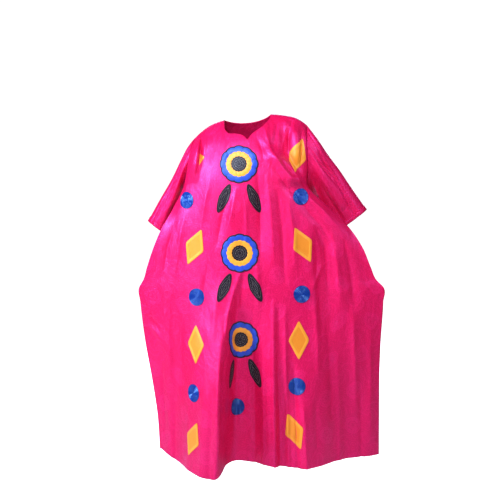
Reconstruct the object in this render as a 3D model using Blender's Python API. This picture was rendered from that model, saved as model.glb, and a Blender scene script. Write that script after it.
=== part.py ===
"""A worn maxi dress in damask, hollow, as the wearer's shoulders and two hands hold it.

Metres. +X is the wearer's left, -Y the front and +Z up. The origin lies between the shoulders.
A drop is a distance below the origin. The cloth is a wall round empty space: two panels, two
sleeves with turned cuffs, and the embroidered pieces that lie on the front panel.
"""

import math
from collections import namedtuple

import bmesh
import bpy
import numpy as np
from mathutils import Vector

# Cloth and seams
WALL = 0.0015
SEAM_GAP = 0.0004
ARMHOLE_GAP = 0.0006
PATCH_GAP = 0.0003
PATCH_WALL = 0.0010

# Mesh density: rows from shoulder to armpit, rows from armpit to hem, and columns at the top edge
ARMHOLE_ROWS = 9
ROW_CROWDING = 0.55
SKIRT_ROWS = 24
SHOULDER_COLUMNS = {"front": 9, "back": 7}
NECK_COLUMNS = {"front": 16, "back": 10}
SLEEVE_RINGS = 10

# The armholes, as drops of the shoulder point and of the armpit
SHOULDER_DROP = {"left": 0.085, "right": 0.030}
ARMPIT_DROP = {"left": 0.270, "right": 0.285}
SHOULDER_Y = 0.012
ARMHOLE_REACH = {"front": -0.054, "back": 0.072}
ARMHOLE_HIGH = {"front": 0.75, "back": 0.85}
ARMHOLE_FADE = 0.080
ARMHOLE_POWER = 1.1
SHOULDER_ROUND = {"neck": 0.105, "arm": 0.060}
ROUND_FROM = 0.22
ROUND_BLEND = 0.12

# The body's section: how square its curves are, where the crown fades at the lens's edges, and
# where the back's crown lies between the side edges
SECTION_POWER = 2.4
CROWN_FADE = 0.35
BACK_CROWN = 0.3

# How a panel's columns run from its top edge to the armpits and on to the hem
COLUMN_POWER = 0.7
ARMPIT_BLEND = 0.55
CLOTH_SPACING = 0.65
SPACING_SPEED = 3.0
SKIRT_CROWDING = 1.25
FINE_STEPS = 601
HEM_PASSES = 3

Level = namedtuple(
    "Level",
    "drop left right seam front back crown fall_left fall_right back_fall "
    "share flank_left flank_right",
)
# left, right: x of the side edges. seam: y of the side seams. front, back: y of the two crowns.
# crown: x of the front's crown. fall_...: how far from the crown the cloth falls away.
# share: how much of the fullness is in the crown and not in the broad lens.
# flank_...: how the lens meets the side edges, upright at 0.5 and as a flat fin above 1.
LEVELS = [
    Level(0.00, -0.202, 0.232, 0.012, -0.050, 0.055, -0.010, 0.18, 0.18, 0.17, 0.35, 0.60, 0.60),
    Level(0.06, -0.210, 0.231, 0.010, -0.084, 0.082, -0.012, 0.19, 0.18, 0.17, 0.35, 0.55, 0.60),
    Level(0.12, -0.226, 0.232, 0.006, -0.112, 0.103, -0.015, 0.20, 0.18, 0.17, 0.35, 0.55, 0.60),
    Level(0.20, -0.243, 0.235, 0.002, -0.136, 0.116, -0.020, 0.21, 0.19, 0.17, 0.40, 0.55, 0.60),
    Level(0.28, -0.263, 0.241, 0.000, -0.144, 0.116, -0.025, 0.22, 0.32, 0.16, 0.50, 0.60, 0.55),
    Level(0.36, -0.299, 0.322, -0.016, -0.144, 0.108, -0.030, 0.22, 0.34, 0.16, 0.60, 0.80, 0.60),
    Level(0.44, -0.345, 0.401, -0.030, -0.143, 0.106, -0.035, 0.21, 0.35, 0.17, 0.66, 1.00, 0.80),
    Level(0.52, -0.379, 0.455, -0.036, -0.146, 0.112, -0.040, 0.20, 0.35, 0.20, 0.68, 1.10, 1.00),
    Level(0.60, -0.406, 0.489, -0.032, -0.150, 0.122, -0.045, 0.20, 0.35, 0.23, 0.66, 1.10, 1.10),
    Level(0.65, -0.421, 0.512, -0.028, -0.152, 0.128, -0.050, 0.20, 0.35, 0.25, 0.62, 1.05, 1.05),
    Level(0.68, -0.438, 0.541, -0.026, -0.153, 0.132, -0.052, 0.20, 0.35, 0.26, 0.60, 1.05, 1.05),
    Level(0.74, -0.434, 0.541, -0.022, -0.154, 0.138, -0.055, 0.20, 0.35, 0.27, 0.58, 1.00, 1.00),
    Level(0.90, -0.416, 0.533, -0.012, -0.156, 0.148, -0.060, 0.20, 0.35, 0.29, 0.50, 0.95, 0.95),
    Level(1.05, -0.391, 0.530, -0.004, -0.154, 0.152, -0.060, 0.20, 0.35, 0.30, 0.45, 0.90, 0.90),
    Level(1.20, -0.370, 0.531, 0.002, -0.148, 0.150, -0.060, 0.20, 0.35, 0.30, 0.40, 0.85, 0.85),
    Level(1.40, -0.359, 0.532, 0.006, -0.138, 0.146, -0.060, 0.20, 0.35, 0.30, 0.35, 0.85, 0.85),
]

Point = namedtuple("Point", "x drop")
SHOULDER_LINE = [
    Point(-0.215, 0.085),
    Point(-0.190, 0.061),
    Point(-0.152, 0.033),
    Point(-0.120, 0.019),
    Point(-0.0955, 0.012),
    Point(0.000, -0.004),
    Point(0.091, -0.012),
    Point(0.150, -0.006),
    Point(0.190, 0.003),
    Point(0.215, 0.017),
    Point(0.232, 0.030),
]
NECKLINE = {
    "front": [
        Point(-0.0955, 0.012),
        Point(-0.0945, 0.032),
        Point(-0.0915, 0.052),
        Point(-0.079, 0.067),
        Point(-0.050, 0.070),
        Point(-0.020, 0.078),
        Point(-0.004, 0.094),
        Point(0.020, 0.066),
        Point(0.045, 0.048),
        Point(0.066, 0.030),
        Point(0.082, 0.010),
        Point(0.091, -0.012),
    ],
    "back": [
        Point(-0.0955, 0.012),
        Point(-0.070, 0.018),
        Point(-0.030, 0.022),
        Point(0.010, 0.019),
        Point(0.055, 0.008),
        Point(0.080, -0.004),
        Point(0.091, -0.012),
    ],
}
HEM = {
    "front": [
        Point(-0.36, 1.340),
        Point(-0.28, 1.374),
        Point(-0.19, 1.398),
        Point(-0.12, 1.398),
        Point(-0.08, 1.378),
        Point(0.04, 1.374),
        Point(0.20, 1.384),
        Point(0.36, 1.372),
        Point(0.54, 1.366),
    ],
    "back": [
        Point(-0.36, 1.340),
        Point(-0.20, 1.364),
        Point(0.05, 1.372),
        Point(0.30, 1.372),
        Point(0.54, 1.366),
    ],
}

Fold = namedtuple("Fold", "x_top top x_low low left right rise fade_top fade_low")
# From x_top at drop top to x_low at drop low, falling away over left and right beside its line.
# rise: how far the cloth stands out, or in where it is negative.
FOLDS = {
    "front": [
        # The large fold that the wearer's right knee carries forward, with a steep inner side
        Fold(-0.072, 0.62, -0.136, 1.42, 0.150, 0.036, 0.120, 0.60, 0.01),
        Fold(-0.035, 0.60, -0.045, 1.42, 0.045, 0.110, -0.058, 0.40, 0.01),
        # The fold down the middle and the two that stand beside it
        Fold(0.088, 0.70, 0.092, 1.42, 0.030, 0.045, 0.022, 0.30, 0.01),
        Fold(0.150, 0.95, 0.152, 1.42, 0.035, 0.040, -0.020, 0.25, 0.01),
        Fold(0.215, 0.75, 0.235, 1.42, 0.075, 0.100, 0.042, 0.50, 0.01),
        Fold(0.375, 0.85, 0.385, 1.42, 0.060, 0.060, -0.020, 0.40, 0.01),
        # The groove that runs from the right side of the waist to the hip
        Fold(0.262, 0.42, 0.300, 0.92, 0.016, 0.050, -0.020, 0.12, 0.20),
        # Pulled from the chest towards the wearer's left hand
        Fold(0.085, 0.11, 0.226, 0.290, 0.070, 0.020, 0.034, 0.07, 0.05),
        Fold(0.140, 0.02, 0.150, 0.20, 0.018, 0.022, -0.020, 0.05, 0.06),
        Fold(0.178, 0.02, 0.200, 0.22, 0.022, 0.020, 0.016, 0.05, 0.07),
        # The closed pleat beside the wearer's right armhole, over most of the first lozenge
        Fold(-0.198, 0.06, -0.206, 0.27, 0.030, 0.009, 0.022, 0.05, 0.08),
        # Soft folds on the far side of the large one
        Fold(-0.285, 0.78, -0.270, 1.42, 0.030, 0.030, -0.016, 0.30, 0.01),
        Fold(-0.045, 0.28, -0.085, 0.62, 0.022, 0.040, 0.012, 0.10, 0.20),
        Fold(0.040, 0.22, 0.055, 0.66, 0.030, 0.030, -0.012, 0.15, 0.25),
    ],
    "back": [
        Fold(-0.230, 0.40, -0.250, 1.42, 0.070, 0.060, 0.050, 0.60, 0.01),
        Fold(-0.120, 0.40, -0.130, 1.42, 0.050, 0.060, -0.045, 0.60, 0.01),
        Fold(-0.010, 0.30, -0.020, 1.42, 0.060, 0.070, 0.040, 0.60, 0.01),
        Fold(0.110, 0.35, 0.110, 1.42, 0.060, 0.050, -0.050, 0.60, 0.01),
        Fold(0.215, 0.45, 0.235, 1.42, 0.060, 0.080, 0.055, 0.60, 0.01),
        Fold(0.350, 0.55, 0.370, 1.42, 0.060, 0.060, -0.030, 0.50, 0.01),
        Fold(-0.165, 0.10, -0.150, 0.34, 0.025, 0.030, -0.014, 0.08, 0.15),
        Fold(0.165, 0.10, 0.155, 0.34, 0.030, 0.025, -0.014, 0.08, 0.15),
    ],
}
EDGE_CALM = 0.035

Ring = namedtuple("Ring", "share top_x top_drop low_x low_drop y depth lag")
# share: how far along the sleeve. top, low: its upper and lower edge as seen from the front.
# y: the ring's middle. depth: half its thickness. lag: how far the lower edge lies behind.
SLEEVES = {
    "left": [
        Ring(0.00, -0.215, 0.085, -0.260, 0.270, 0.010, 0.062, 0.020),
        Ring(0.12, -0.238, 0.112, -0.272, 0.302, 0.034, 0.072, 0.070),
        Ring(0.30, -0.271, 0.169, -0.281, 0.338, 0.056, 0.080, 0.050),
        Ring(0.50, -0.309, 0.243, -0.290, 0.384, 0.068, 0.074, 0.035),
        Ring(0.75, -0.358, 0.325, -0.302, 0.436, 0.074, 0.066, 0.020),
        Ring(1.00, -0.410, 0.416, -0.318, 0.484, 0.080, 0.060, 0.010),
    ],
    "right": [
        Ring(0.00, 0.232, 0.030, 0.242, 0.285, 0.010, 0.062, 0.020),
        Ring(0.12, 0.268, 0.076, 0.254, 0.302, 0.034, 0.074, 0.070),
        Ring(0.30, 0.318, 0.145, 0.278, 0.338, 0.056, 0.082, 0.050),
        Ring(0.50, 0.368, 0.209, 0.300, 0.377, 0.068, 0.076, 0.035),
        Ring(0.75, 0.425, 0.291, 0.327, 0.423, 0.073, 0.068, 0.020),
        Ring(1.00, 0.482, 0.370, 0.352, 0.466, 0.078, 0.062, 0.010),
    ],
}
SleeveFold = namedtuple("SleeveFold", "share_from share_to turn_from turn_to width rise")
# A turn is 0 at the sleeve's upper edge, 0.25 at its front, 0.5 at its lower edge.
SLEEVE_FOLDS = {
    "left": [
        SleeveFold(0.05, 0.95, 0.26, 0.24, 0.050, 0.014),
        SleeveFold(0.05, 0.70, 0.14, 0.15, 0.040, -0.009),
        SleeveFold(0.30, 1.10, 0.78, 0.72, 0.060, 0.010),
    ],
    "right": [
        SleeveFold(0.02, 0.80, 0.27, 0.24, 0.050, 0.018),
        SleeveFold(0.05, 0.60, 0.16, 0.12, 0.040, -0.012),
        SleeveFold(0.30, 1.10, 0.78, 0.72, 0.060, 0.010),
    ],
}
FOLD_END_POWER = 0.7
RING_CROWDING = 1.1
RING_SPARE = 0.10
SLEEVE_SETTLE = 0.18
ARMPIT_LIFT = 0.00195
CUFF_SHARE = 0.065
CUFF_GAP = 0.0005
CUFF_WALL = 0.0012

# Embroidery
LOZENGE_LONG = 0.078
LOZENGE_SHORT = 0.043
DISC_RADIUS = 0.034
ROSETTE_RADIUS = 0.076
LEAF_LENGTH = 0.120
LEAF_HALF_WIDTH = 0.021
LEAF_SPREAD = math.radians(24)
LEAF_START = 0.087
LEAF_BLUNTNESS = 0.25
DISC_SIDES = 12
ROSETTE_SIDES = 18
LEAF_SIDES = 8

# What shows of the first lozenge beside the closed pleat, as (side, down) steps from its middle
SLIVER_NAME = "lozenge_left_1"
SLIVER_MIDDLE = (-0.186, 0.168)
SLIVER = [(-0.008, -0.022), (0.016, -0.006), (-0.010, 0.030)]

Lozenge = namedtuple("Lozenge", "name x drop lean")
LOZENGES = [
    Lozenge("lozenge_left_2", -0.211, 0.514, -24),
    Lozenge("lozenge_left_3", -0.205, 0.892, 0),
    Lozenge("lozenge_left_4", -0.217, 1.258, -24),
    Lozenge("lozenge_right_1", 0.193, 0.157, -20),
    Lozenge("lozenge_right_2", 0.212, 0.505, 26),
    Lozenge("lozenge_right_3", 0.197, 0.878, 0),
    Lozenge("lozenge_right_4", 0.180, 1.236, 24),
]
Disc = namedtuple("Disc", "name x drop")
DISCS = [
    Disc("disc_left_1", -0.244, 0.331),
    Disc("disc_left_2", -0.203, 0.710),
    Disc("disc_left_3", -0.213, 1.079),
    Disc("disc_right_1", 0.205, 0.316),
    Disc("disc_right_2", 0.209, 0.698),
    Disc("disc_right_3", 0.189, 1.058),
    Disc("disc_middle", -0.049, 1.149),
]
ROSETTES = [
    Disc("rosette_upper", -0.037, 0.190),
    Disc("rosette_middle", -0.034, 0.535),
    Disc("rosette_lower", -0.032, 0.878),
]

# How many steps it takes to walk along the cloth to a point of an embroidered outline, and how
# far to each side the slope is read
WALK_STEPS = 24
SLOPE_REACH = 0.002

# How much of the panel round an outline is kept while it is cut, and how near points are joined
CUT_MARGIN = 0.06
CUT_WELD = 0.0002
FACET_WELD = 0.0001

COLOURS = {
    "damask": (0.86, 0.02, 0.22, 1.0),
    "yellow": (0.92, 0.42, 0.06, 1.0),
    "blue": (0.04, 0.14, 0.50, 1.0),
    "dark": (0.03, 0.012, 0.016, 1.0),
}
ROUGHNESS = 0.4
SMOOTH_ANGLE = math.radians(35)


def column(rows, name):
    """One named column of a table."""
    return np.array([getattr(row, name) for row in rows], float)


def through(knots, values, places):
    """A smooth curve through the knots, read at the given places."""
    slopes = np.gradient(values, knots)
    places = np.asarray(places, float)
    i = np.clip(np.searchsorted(knots, places) - 1, 0, len(knots) - 2)
    span = knots[i + 1] - knots[i]
    t = np.clip((places - knots[i]) / span, 0.0, 1.0)
    rest = 1.0 - t
    start = rest * rest * (1.0 + 2.0 * t) * values[i] + t * rest * rest * span * slopes[i]
    end = t * t * (3.0 - 2.0 * t) * values[i + 1] - t * t * rest * span * slopes[i + 1]
    return start + end


def eased(t):
    """0 to 1 with a soft start and end."""
    t = np.clip(t, 0.0, 1.0)
    return t * t * (3.0 - 2.0 * t)


def level(name, drop):
    """A column of the body's levels at any drop."""
    return through(column(LEVELS, "drop"), column(LEVELS, name), drop)


def line_at(points, x):
    """The drop of an edge line at x."""
    return through(column(points, "x"), column(points, "drop"), x)


def armhole_reach(side, face, drop):
    """How far an armhole's edge stands off the side seam's line on the front or the back."""
    span = ARMPIT_DROP[side] - SHOULDER_DROP[side]
    q = np.clip((drop - SHOULDER_DROP[side]) / span, 0.0, 1.0)
    return ARMHOLE_REACH[face] * np.sin(np.pi * q ** ARMHOLE_HIGH[face]) ** ARMHOLE_POWER


def down_rows():
    """How far down from the top edge to the armpit each row lies, closer together at both ends."""
    even = np.linspace(0.0, 1.0, ARMHOLE_ROWS + 1)
    return (1.0 - ROW_CROWDING) * even + ROW_CROWDING * (0.5 - 0.5 * np.cos(np.pi * even))


def fold_rise(face, x, drop):
    """How far all folds together move the cloth out at (x, drop)."""
    total = np.zeros_like(x)
    for fold in FOLDS[face]:
        share = np.clip((drop - fold.top) / (fold.low - fold.top), 0.0, 1.0)
        off = x - (fold.x_top + (fold.x_low - fold.x_top) * share)
        across = np.where(off < 0.0, off / fold.left, off / fold.right)
        strength = eased((drop - fold.top) / fold.fade_top) * eased(
            (fold.low - drop) / fold.fade_low
        )
        total += fold.rise * strength * np.exp(-np.abs(across) ** SECTION_POWER)
    return total


def cloth_y(face, x, drop):
    """y of a panel's outer surface at (x, drop) in the front view."""
    left, right = level("left", drop), level("right", drop)
    ease = np.clip((x - left) / (right - left), 0.0, 1.0)
    seam = level("seam", drop)
    from_edges = seam + armhole_reach("left", face, drop) * eased(1.0 - (x - left) / ARMHOLE_FADE)
    from_edges += armhole_reach("right", face, drop) * eased(1.0 - (right - x) / ARMHOLE_FADE)
    if face == "front":
        off = x - level("crown", drop)
        fall = np.where(off < 0.0, level("fall_left", drop), level("fall_right", drop))
    else:
        off = x - BACK_CROWN * (left + right)
        fall = level("back_fall", drop)
    crown = np.exp(-np.abs(off / fall) ** SECTION_POWER)
    share = level("share", drop)
    flank = np.where(ease < 0.5, level("flank_left", drop), level("flank_right", drop))
    lens = (1.0 - np.abs(2.0 * ease - 1.0) ** SECTION_POWER) ** flank
    full = lens * (1.0 - share) + share * crown * eased(lens / CROWN_FADE)
    y = from_edges + (level(face, drop) - from_edges) * full
    calm = eased(np.minimum(x - left, right - x) / EDGE_CALM)
    outward = -1.0 if face == "front" else 1.0
    y = y + outward * fold_rise(face, x, drop) * calm
    near_neck = np.clip((ROUND_FROM - np.abs(x)) / ROUND_BLEND, 0.0, 1.0)
    reach = SHOULDER_ROUND["arm"] + (SHOULDER_ROUND["neck"] - SHOULDER_ROUND["arm"]) * near_neck
    down = np.clip((drop - line_at(SHOULDER_LINE, x)) / reach, 0.0, 1.0)
    return SHOULDER_Y + (y - SHOULDER_Y) * np.sqrt(1.0 - (1.0 - down) ** 2)


def along(points, count):
    """count + 1 points evenly spaced on a smooth line through the points."""
    x, drop = column(points, "x"), column(points, "drop")
    knots = np.concatenate([[0.0], np.cumsum(np.hypot(np.diff(x), np.diff(drop)))])
    places = np.linspace(0.0, knots[-1], count + 1)
    return np.stack([through(knots, x, places), through(knots, drop, places)], axis=1)


def top_edge(face):
    """x and drop along a panel's top edge: shoulder, neckline and shoulder."""
    shoulder = SHOULDER_COLUMNS[face]
    first = [p for p in SHOULDER_LINE if p.x <= NECKLINE[face][0].x]
    last = [p for p in SHOULDER_LINE if p.x >= NECKLINE[face][-1].x]
    neck = NECKLINE[face]
    half = NECK_COLUMNS[face] // 2
    deepest = max(range(len(neck)), key=lambda i: neck[i].drop)
    parts = [
        along(first, shoulder)[:-1],
        along(neck[: deepest + 1], half)[:-1],
        along(neck[deepest:], half)[:-1],
        along(last, shoulder),
    ]
    return np.concatenate(parts)


def panel_points(face):
    """Points on a panel's outer surface, rows from top to hem and columns from left to right."""
    edge = top_edge(face)
    even = np.linspace(0.0, 1.0, len(edge))
    top_ease = (edge[:, 0] - edge[0, 0]) / (edge[-1, 0] - edge[0, 0])
    armpit = ARMPIT_DROP["left"] + (ARMPIT_DROP["right"] - ARMPIT_DROP["left"]) * even
    armpit_ease = ARMPIT_BLEND * top_ease + (1.0 - ARMPIT_BLEND) * even
    rows = []
    for down in down_rows():
        drop = edge[:, 1] * (1.0 - down) + armpit * down
        ease = top_ease + (armpit_ease - top_ease) * down ** COLUMN_POWER
        left, right = level("left", drop[0]), level("right", drop[-1])
        x = left + (right - left) * ease
        rows.append(np.stack([x, cloth_y(face, x, drop), -drop], axis=1))
    fine = np.linspace(0.0, 1.0, FINE_STEPS)
    fine_armpit = np.interp(fine, even, armpit)
    for j in range(1, SKIRT_ROWS + 1):
        down = (j / SKIRT_ROWS) ** SKIRT_CROWDING
        x = np.zeros_like(fine)
        drop = fine_armpit.copy()
        for _ in range(HEM_PASSES):
            left, right = level("left", drop), level("right", drop)
            x = left + (right - left) * fine
            drop = fine_armpit * (1.0 - down) + line_at(HEM[face], x) * down
        y = cloth_y(face, x, drop)
        walked = np.concatenate([[0.0], np.cumsum(np.hypot(np.diff(x), np.diff(y)))])
        by_cloth = walked / walked[-1]
        share = armpit_ease + (even - armpit_ease) * eased(SPACING_SPEED * down)
        spot = np.interp(share, (1.0 - CLOTH_SPACING) * fine + CLOTH_SPACING * by_cloth, fine)
        x, drop = np.interp(spot, fine, x), np.interp(spot, fine, drop)
        rows.append(np.stack([x, cloth_y(face, x, drop), -drop], axis=1))
    return np.array(rows)


def grid_normals(points, closed=False):
    """Unit normals of a grid of points, towards +Y where its columns run along +X."""
    down = np.gradient(points, axis=0)
    if closed:
        across = np.roll(points, -1, axis=1) - np.roll(points, 1, axis=1)
    else:
        across = np.gradient(points, axis=1)
    normals = np.cross(across, down)
    normals /= np.maximum(np.linalg.norm(normals, axis=2, keepdims=True), 1e-9)
    return normals


def settle_panel(face):
    """A panel's outer and inner points, with seam allowances between it and its neighbours."""
    outer = panel_points(face)
    sign = -1.0 if face == "front" else 1.0
    inward = -sign * grid_normals(outer)
    shoulder = SHOULDER_COLUMNS[face] + 1
    inward[0, :shoulder] = (0.0, 0.0, -1.0)
    inward[0, -shoulder:] = (0.0, 0.0, -1.0)
    inward[ARMHOLE_ROWS:, 0] = (0.0, -sign, 0.0)
    inward[ARMHOLE_ROWS:, -1] = (0.0, -sign, 0.0)
    outer[0, :, 1] += sign * 0.5 * SEAM_GAP
    outer[ARMHOLE_ROWS:, 0, 1] += sign * (WALL + 0.5 * SEAM_GAP)
    outer[ARMHOLE_ROWS:, -1, 1] += sign * (WALL + 0.5 * SEAM_GAP)
    return outer, outer + inward * WALL


def add_object(name, mesh, colour):
    """Puts a finished mesh in the scene as a named object with its own material."""
    mesh.name = name
    finish = bpy.data.materials.new(name)
    finish.use_nodes = True
    shader = finish.node_tree.nodes["Principled BSDF"]
    shader.inputs["Base Color"].default_value = COLOURS[colour]
    shader.inputs["Roughness"].default_value = ROUGHNESS
    shader.inputs["Metallic"].default_value = 0.0
    mesh.materials.append(finish)
    mesh.shade_smooth()
    mesh.set_sharp_from_angle(angle=SMOOTH_ANGLE)
    made = bpy.data.objects.new(name, mesh)
    bpy.context.scene.collection.objects.link(made)
    return made


def wall_mesh(outer, inner, closed):
    """A closed wall between two grids of points. closed joins the last column to the first."""
    rows, columns = outer.shape[:2]
    shape = bmesh.new()
    skins = [
        [[shape.verts.new(point) for point in row] for row in grid] for grid in (outer, inner)
    ]
    last = columns if closed else columns - 1
    for j in range(rows - 1):
        for i in range(last):
            n = (i + 1) % columns
            a, b = skins
            shape.faces.new((a[j][i], a[j][n], a[j + 1][n], a[j + 1][i]))
            shape.faces.new((b[j][i], b[j + 1][i], b[j + 1][n], b[j][n]))
    for j in (0, rows - 1):
        for i in range(last):
            n = (i + 1) % columns
            shape.faces.new((skins[0][j][i], skins[1][j][i], skins[1][j][n], skins[0][j][n]))
    if not closed:
        for i in (0, columns - 1):
            for j in range(rows - 1):
                shape.faces.new(
                    (skins[0][j][i], skins[0][j + 1][i], skins[1][j + 1][i], skins[1][j][i])
                )
    bmesh.ops.triangulate(shape, faces=shape.faces[:], quad_method="SHORT_EDGE")
    bmesh.ops.recalc_face_normals(shape, faces=shape.faces[:])
    mesh = bpy.data.meshes.new("wall")
    shape.to_mesh(mesh)
    shape.free()
    return mesh


def armhole_ring(side, panels):
    """A sleeve's first ring, outer and inner, laid against the panels' armhole edges."""
    at = 0 if side == "left" else -1
    away = np.array([-ARMHOLE_GAP if side == "left" else ARMHOLE_GAP, 0.0, 0.0])
    rings = []
    for skin in (0, 1):
        front = panels["front"][skin][: ARMHOLE_ROWS + 1, at]
        back = panels["back"][skin][: ARMHOLE_ROWS + 1, at][::-1]
        rings.append(np.concatenate([front, back]) + away)
    lowest = [ARMHOLE_ROWS, ARMHOLE_ROWS + 1]
    rings[1][lowest, 2] += ARMPIT_LIFT
    return rings


def ring_value(table, name, share):
    """A column of a sleeve's rings at any share of its length."""
    return float(through(column(table, "share"), column(table, name), share))


def sleeve_points(side, first_ring):
    """Rings of a sleeve's outer surface from the armhole to the cuff."""
    table = SLEEVES[side]
    half = np.arccos(1.0 - 2.0 * down_rows())
    turn = np.concatenate([half, 2.0 * np.pi - half[::-1]])
    spare = RING_SPARE * np.pi / ARMHOLE_ROWS
    turn[[0, ARMHOLE_ROWS + 1]] += spare
    turn[[ARMHOLE_ROWS, -1]] -= spare
    grid = []
    even = np.linspace(0.0, 1.0, SLEEVE_RINGS + 1)
    for share in [*((1.0 - CUFF_SHARE) * even ** RING_CROWDING), 1.0]:
        at = {name: ring_value(table, name, share) for name in Ring._fields}
        top = np.array([at["top_x"], 0.0, -at["top_drop"]])
        low = np.array([at["low_x"], 0.0, -at["low_drop"]])
        middle, reach = 0.5 * (top + low), 0.5 * (top - low)
        swell = np.zeros_like(turn)
        for fold in SLEEVE_FOLDS[side]:
            part = (share - fold.share_from) / (fold.share_to - fold.share_from)
            line = fold.turn_from + (fold.turn_to - fold.turn_from) * part
            off = (turn / (2.0 * np.pi) - line) / fold.width
            ends = math.sin(math.pi * min(max(part, 0.0), 1.0)) ** FOLD_END_POWER
            swell += fold.rise * ends * np.exp(-off * off)
        ring = middle + np.outer(np.cos(turn), reach)
        ring[:, 1] = at["y"] - np.sin(turn) * at["depth"] - 0.5 * at["lag"] * np.cos(turn)
        ring += np.outer(np.cos(turn) * swell, reach / np.linalg.norm(reach))
        ring[:, 1] -= np.sin(turn) * swell
        settled = eased(share / SLEEVE_SETTLE)
        grid.append(first_ring * (1.0 - settled) + ring * settled)
    return np.array(grid)


def add_sleeve(side, panels):
    """A sleeve and the cuff turned up round its end."""
    first, first_inner = armhole_ring(side, panels)
    outer = sleeve_points(side, first)
    normals = grid_normals(outer, closed=True)
    from_middle = outer - outer.mean(axis=1, keepdims=True)
    if float((normals * from_middle).sum()) < 0.0:
        normals = -normals
    inner = outer - normals * WALL
    inner[0] = first_inner
    add_object("sleeve_" + side, wall_mesh(outer, inner, True), "damask")
    band, proud = outer[-2:], normals[-2:]
    cuff_inner = band + proud * CUFF_GAP
    cuff_outer = band + proud * (CUFF_GAP + CUFF_WALL)
    add_object("cuff_" + side, wall_mesh(cuff_outer, cuff_inner, True), "damask")


def spot(x, drop, side, down):
    """(x, z) after walking down and then sideways from (x, drop) along the front panel's cloth."""
    x, drop = np.full(len(side), float(x)), np.full(len(down), float(drop))
    for step, reach in ((np.array([0.0, 1.0]), down), (np.array([1.0, 0.0]), side)):
        for _ in range(WALK_STEPS):
            aside, below = SLOPE_REACH * step[0], SLOPE_REACH * step[1]
            rise = cloth_y("front", x + aside, drop + below)
            rise = rise - cloth_y("front", x - aside, drop - below)
            length = reach / WALK_STEPS / np.hypot(1.0, rise / (2.0 * SLOPE_REACH))
            x, drop = x + length * step[0], drop + length * step[1]
    return np.stack([x, -drop], axis=1)


def turned(side, down, angle):
    """A step on the cloth, turned by an angle in radians."""
    c, s = math.cos(angle), math.sin(angle)
    return side * c - down * s, side * s + down * c


def lozenge_outline(lean):
    """Corner steps of a lozenge whose long diagonal leans by so many degrees."""
    long, short = LOZENGE_LONG, LOZENGE_SHORT
    corners = ((0.0, -long), (short, 0.0), (0.0, long), (-short, 0.0))
    return [turned(side, down, -math.radians(lean)) for side, down in corners]


def round_outline(radius, sides):
    """Steps round a circle."""
    turns = [2.0 * math.pi * i / sides for i in range(sides)]
    return [(radius * math.sin(a), -radius * math.cos(a)) for a in turns]


def leaf_outline(spread):
    """Steps round a pointed leaf that starts below a rosette and leans by spread."""
    steps = []
    for i in range(LEAF_SIDES):
        a = 2.0 * math.pi * i / LEAF_SIDES
        side = LEAF_HALF_WIDTH * math.sin(a) * (1.0 - LEAF_BLUNTNESS * abs(math.cos(a)))
        down = LEAF_START + 0.5 * LEAF_LENGTH * (1.0 - math.cos(a))
        steps.append(turned(side, down, spread))
    return steps


def hull(points):
    """The convex outline of points in the front view, anticlockwise."""
    ordered = sorted(map(tuple, points))
    sides = []
    for run in (ordered, ordered[::-1]):
        line = []
        for p in run:
            while len(line) > 1:
                (ax, az), (bx, bz) = line[-2], line[-1]
                if (bx - ax) * (p[1] - az) - (bz - az) * (p[0] - ax) > 0.0:
                    break
                line.pop()
            line.append(p)
        sides += line[:-1]
    return sides


def add_patch(name, outline, panel, colour):
    """An embroidered piece: the panel's facets inside an outline, moved out, with a wall."""
    shape = bmesh.new()
    shape.from_mesh(panel)
    low = np.min(outline, axis=0) - CUT_MARGIN
    high = np.max(outline, axis=0) + CUT_MARGIN
    away = [
        v
        for v in shape.verts
        if not (low[0] < v.co.x < high[0] and low[1] < v.co.z < high[1])
    ]
    bmesh.ops.delete(shape, geom=away, context="VERTS")
    for start, end in zip(outline, outline[1:] + outline[:1]):
        outward = Vector((end[1] - start[1], 0.0, start[0] - end[0])).normalized()
        bmesh.ops.bisect_plane(
            shape,
            geom=shape.verts[:] + shape.edges[:] + shape.faces[:],
            dist=CUT_WELD,
            plane_co=(start[0], 0.0, start[1]),
            plane_no=outward,
            clear_outer=True,
        )
    bmesh.ops.triangulate(shape, faces=shape.faces[:])
    bmesh.ops.dissolve_degenerate(shape, dist=FACET_WELD, edges=shape.edges[:])
    bmesh.ops.triangulate(shape, faces=shape.faces[:])
    shape.normal_update()
    normals = [v.normal.copy() for v in shape.verts]
    for vert, normal in zip(shape.verts, normals):
        vert.co += normal * PATCH_GAP
    skin = shape.faces[:]
    bmesh.ops.solidify(shape, geom=skin, thickness=-PATCH_WALL)
    bmesh.ops.recalc_face_normals(shape, faces=shape.faces[:])
    mesh = bpy.data.meshes.new(name)
    shape.to_mesh(mesh)
    shape.free()
    add_object(name, mesh, colour)


def skin_mesh(points):
    """A panel's outer facets alone, facing out."""
    shape = bmesh.new()
    verts = [[shape.verts.new(point) for point in row] for row in points]
    for upper, lower in zip(verts[:-1], verts[1:]):
        for i in range(len(upper) - 1):
            shape.faces.new((upper[i], lower[i], lower[i + 1], upper[i + 1]))
    bmesh.ops.triangulate(shape, faces=shape.faces[:], quad_method="SHORT_EDGE")
    bmesh.ops.recalc_face_normals(shape, faces=shape.faces[:])
    shape.normal_update()
    if sum(face.normal.y for face in shape.faces) > 0.0:
        bmesh.ops.reverse_faces(shape, faces=shape.faces[:])
    mesh = bpy.data.meshes.new("skin")
    shape.to_mesh(mesh)
    shape.free()
    return mesh


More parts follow.
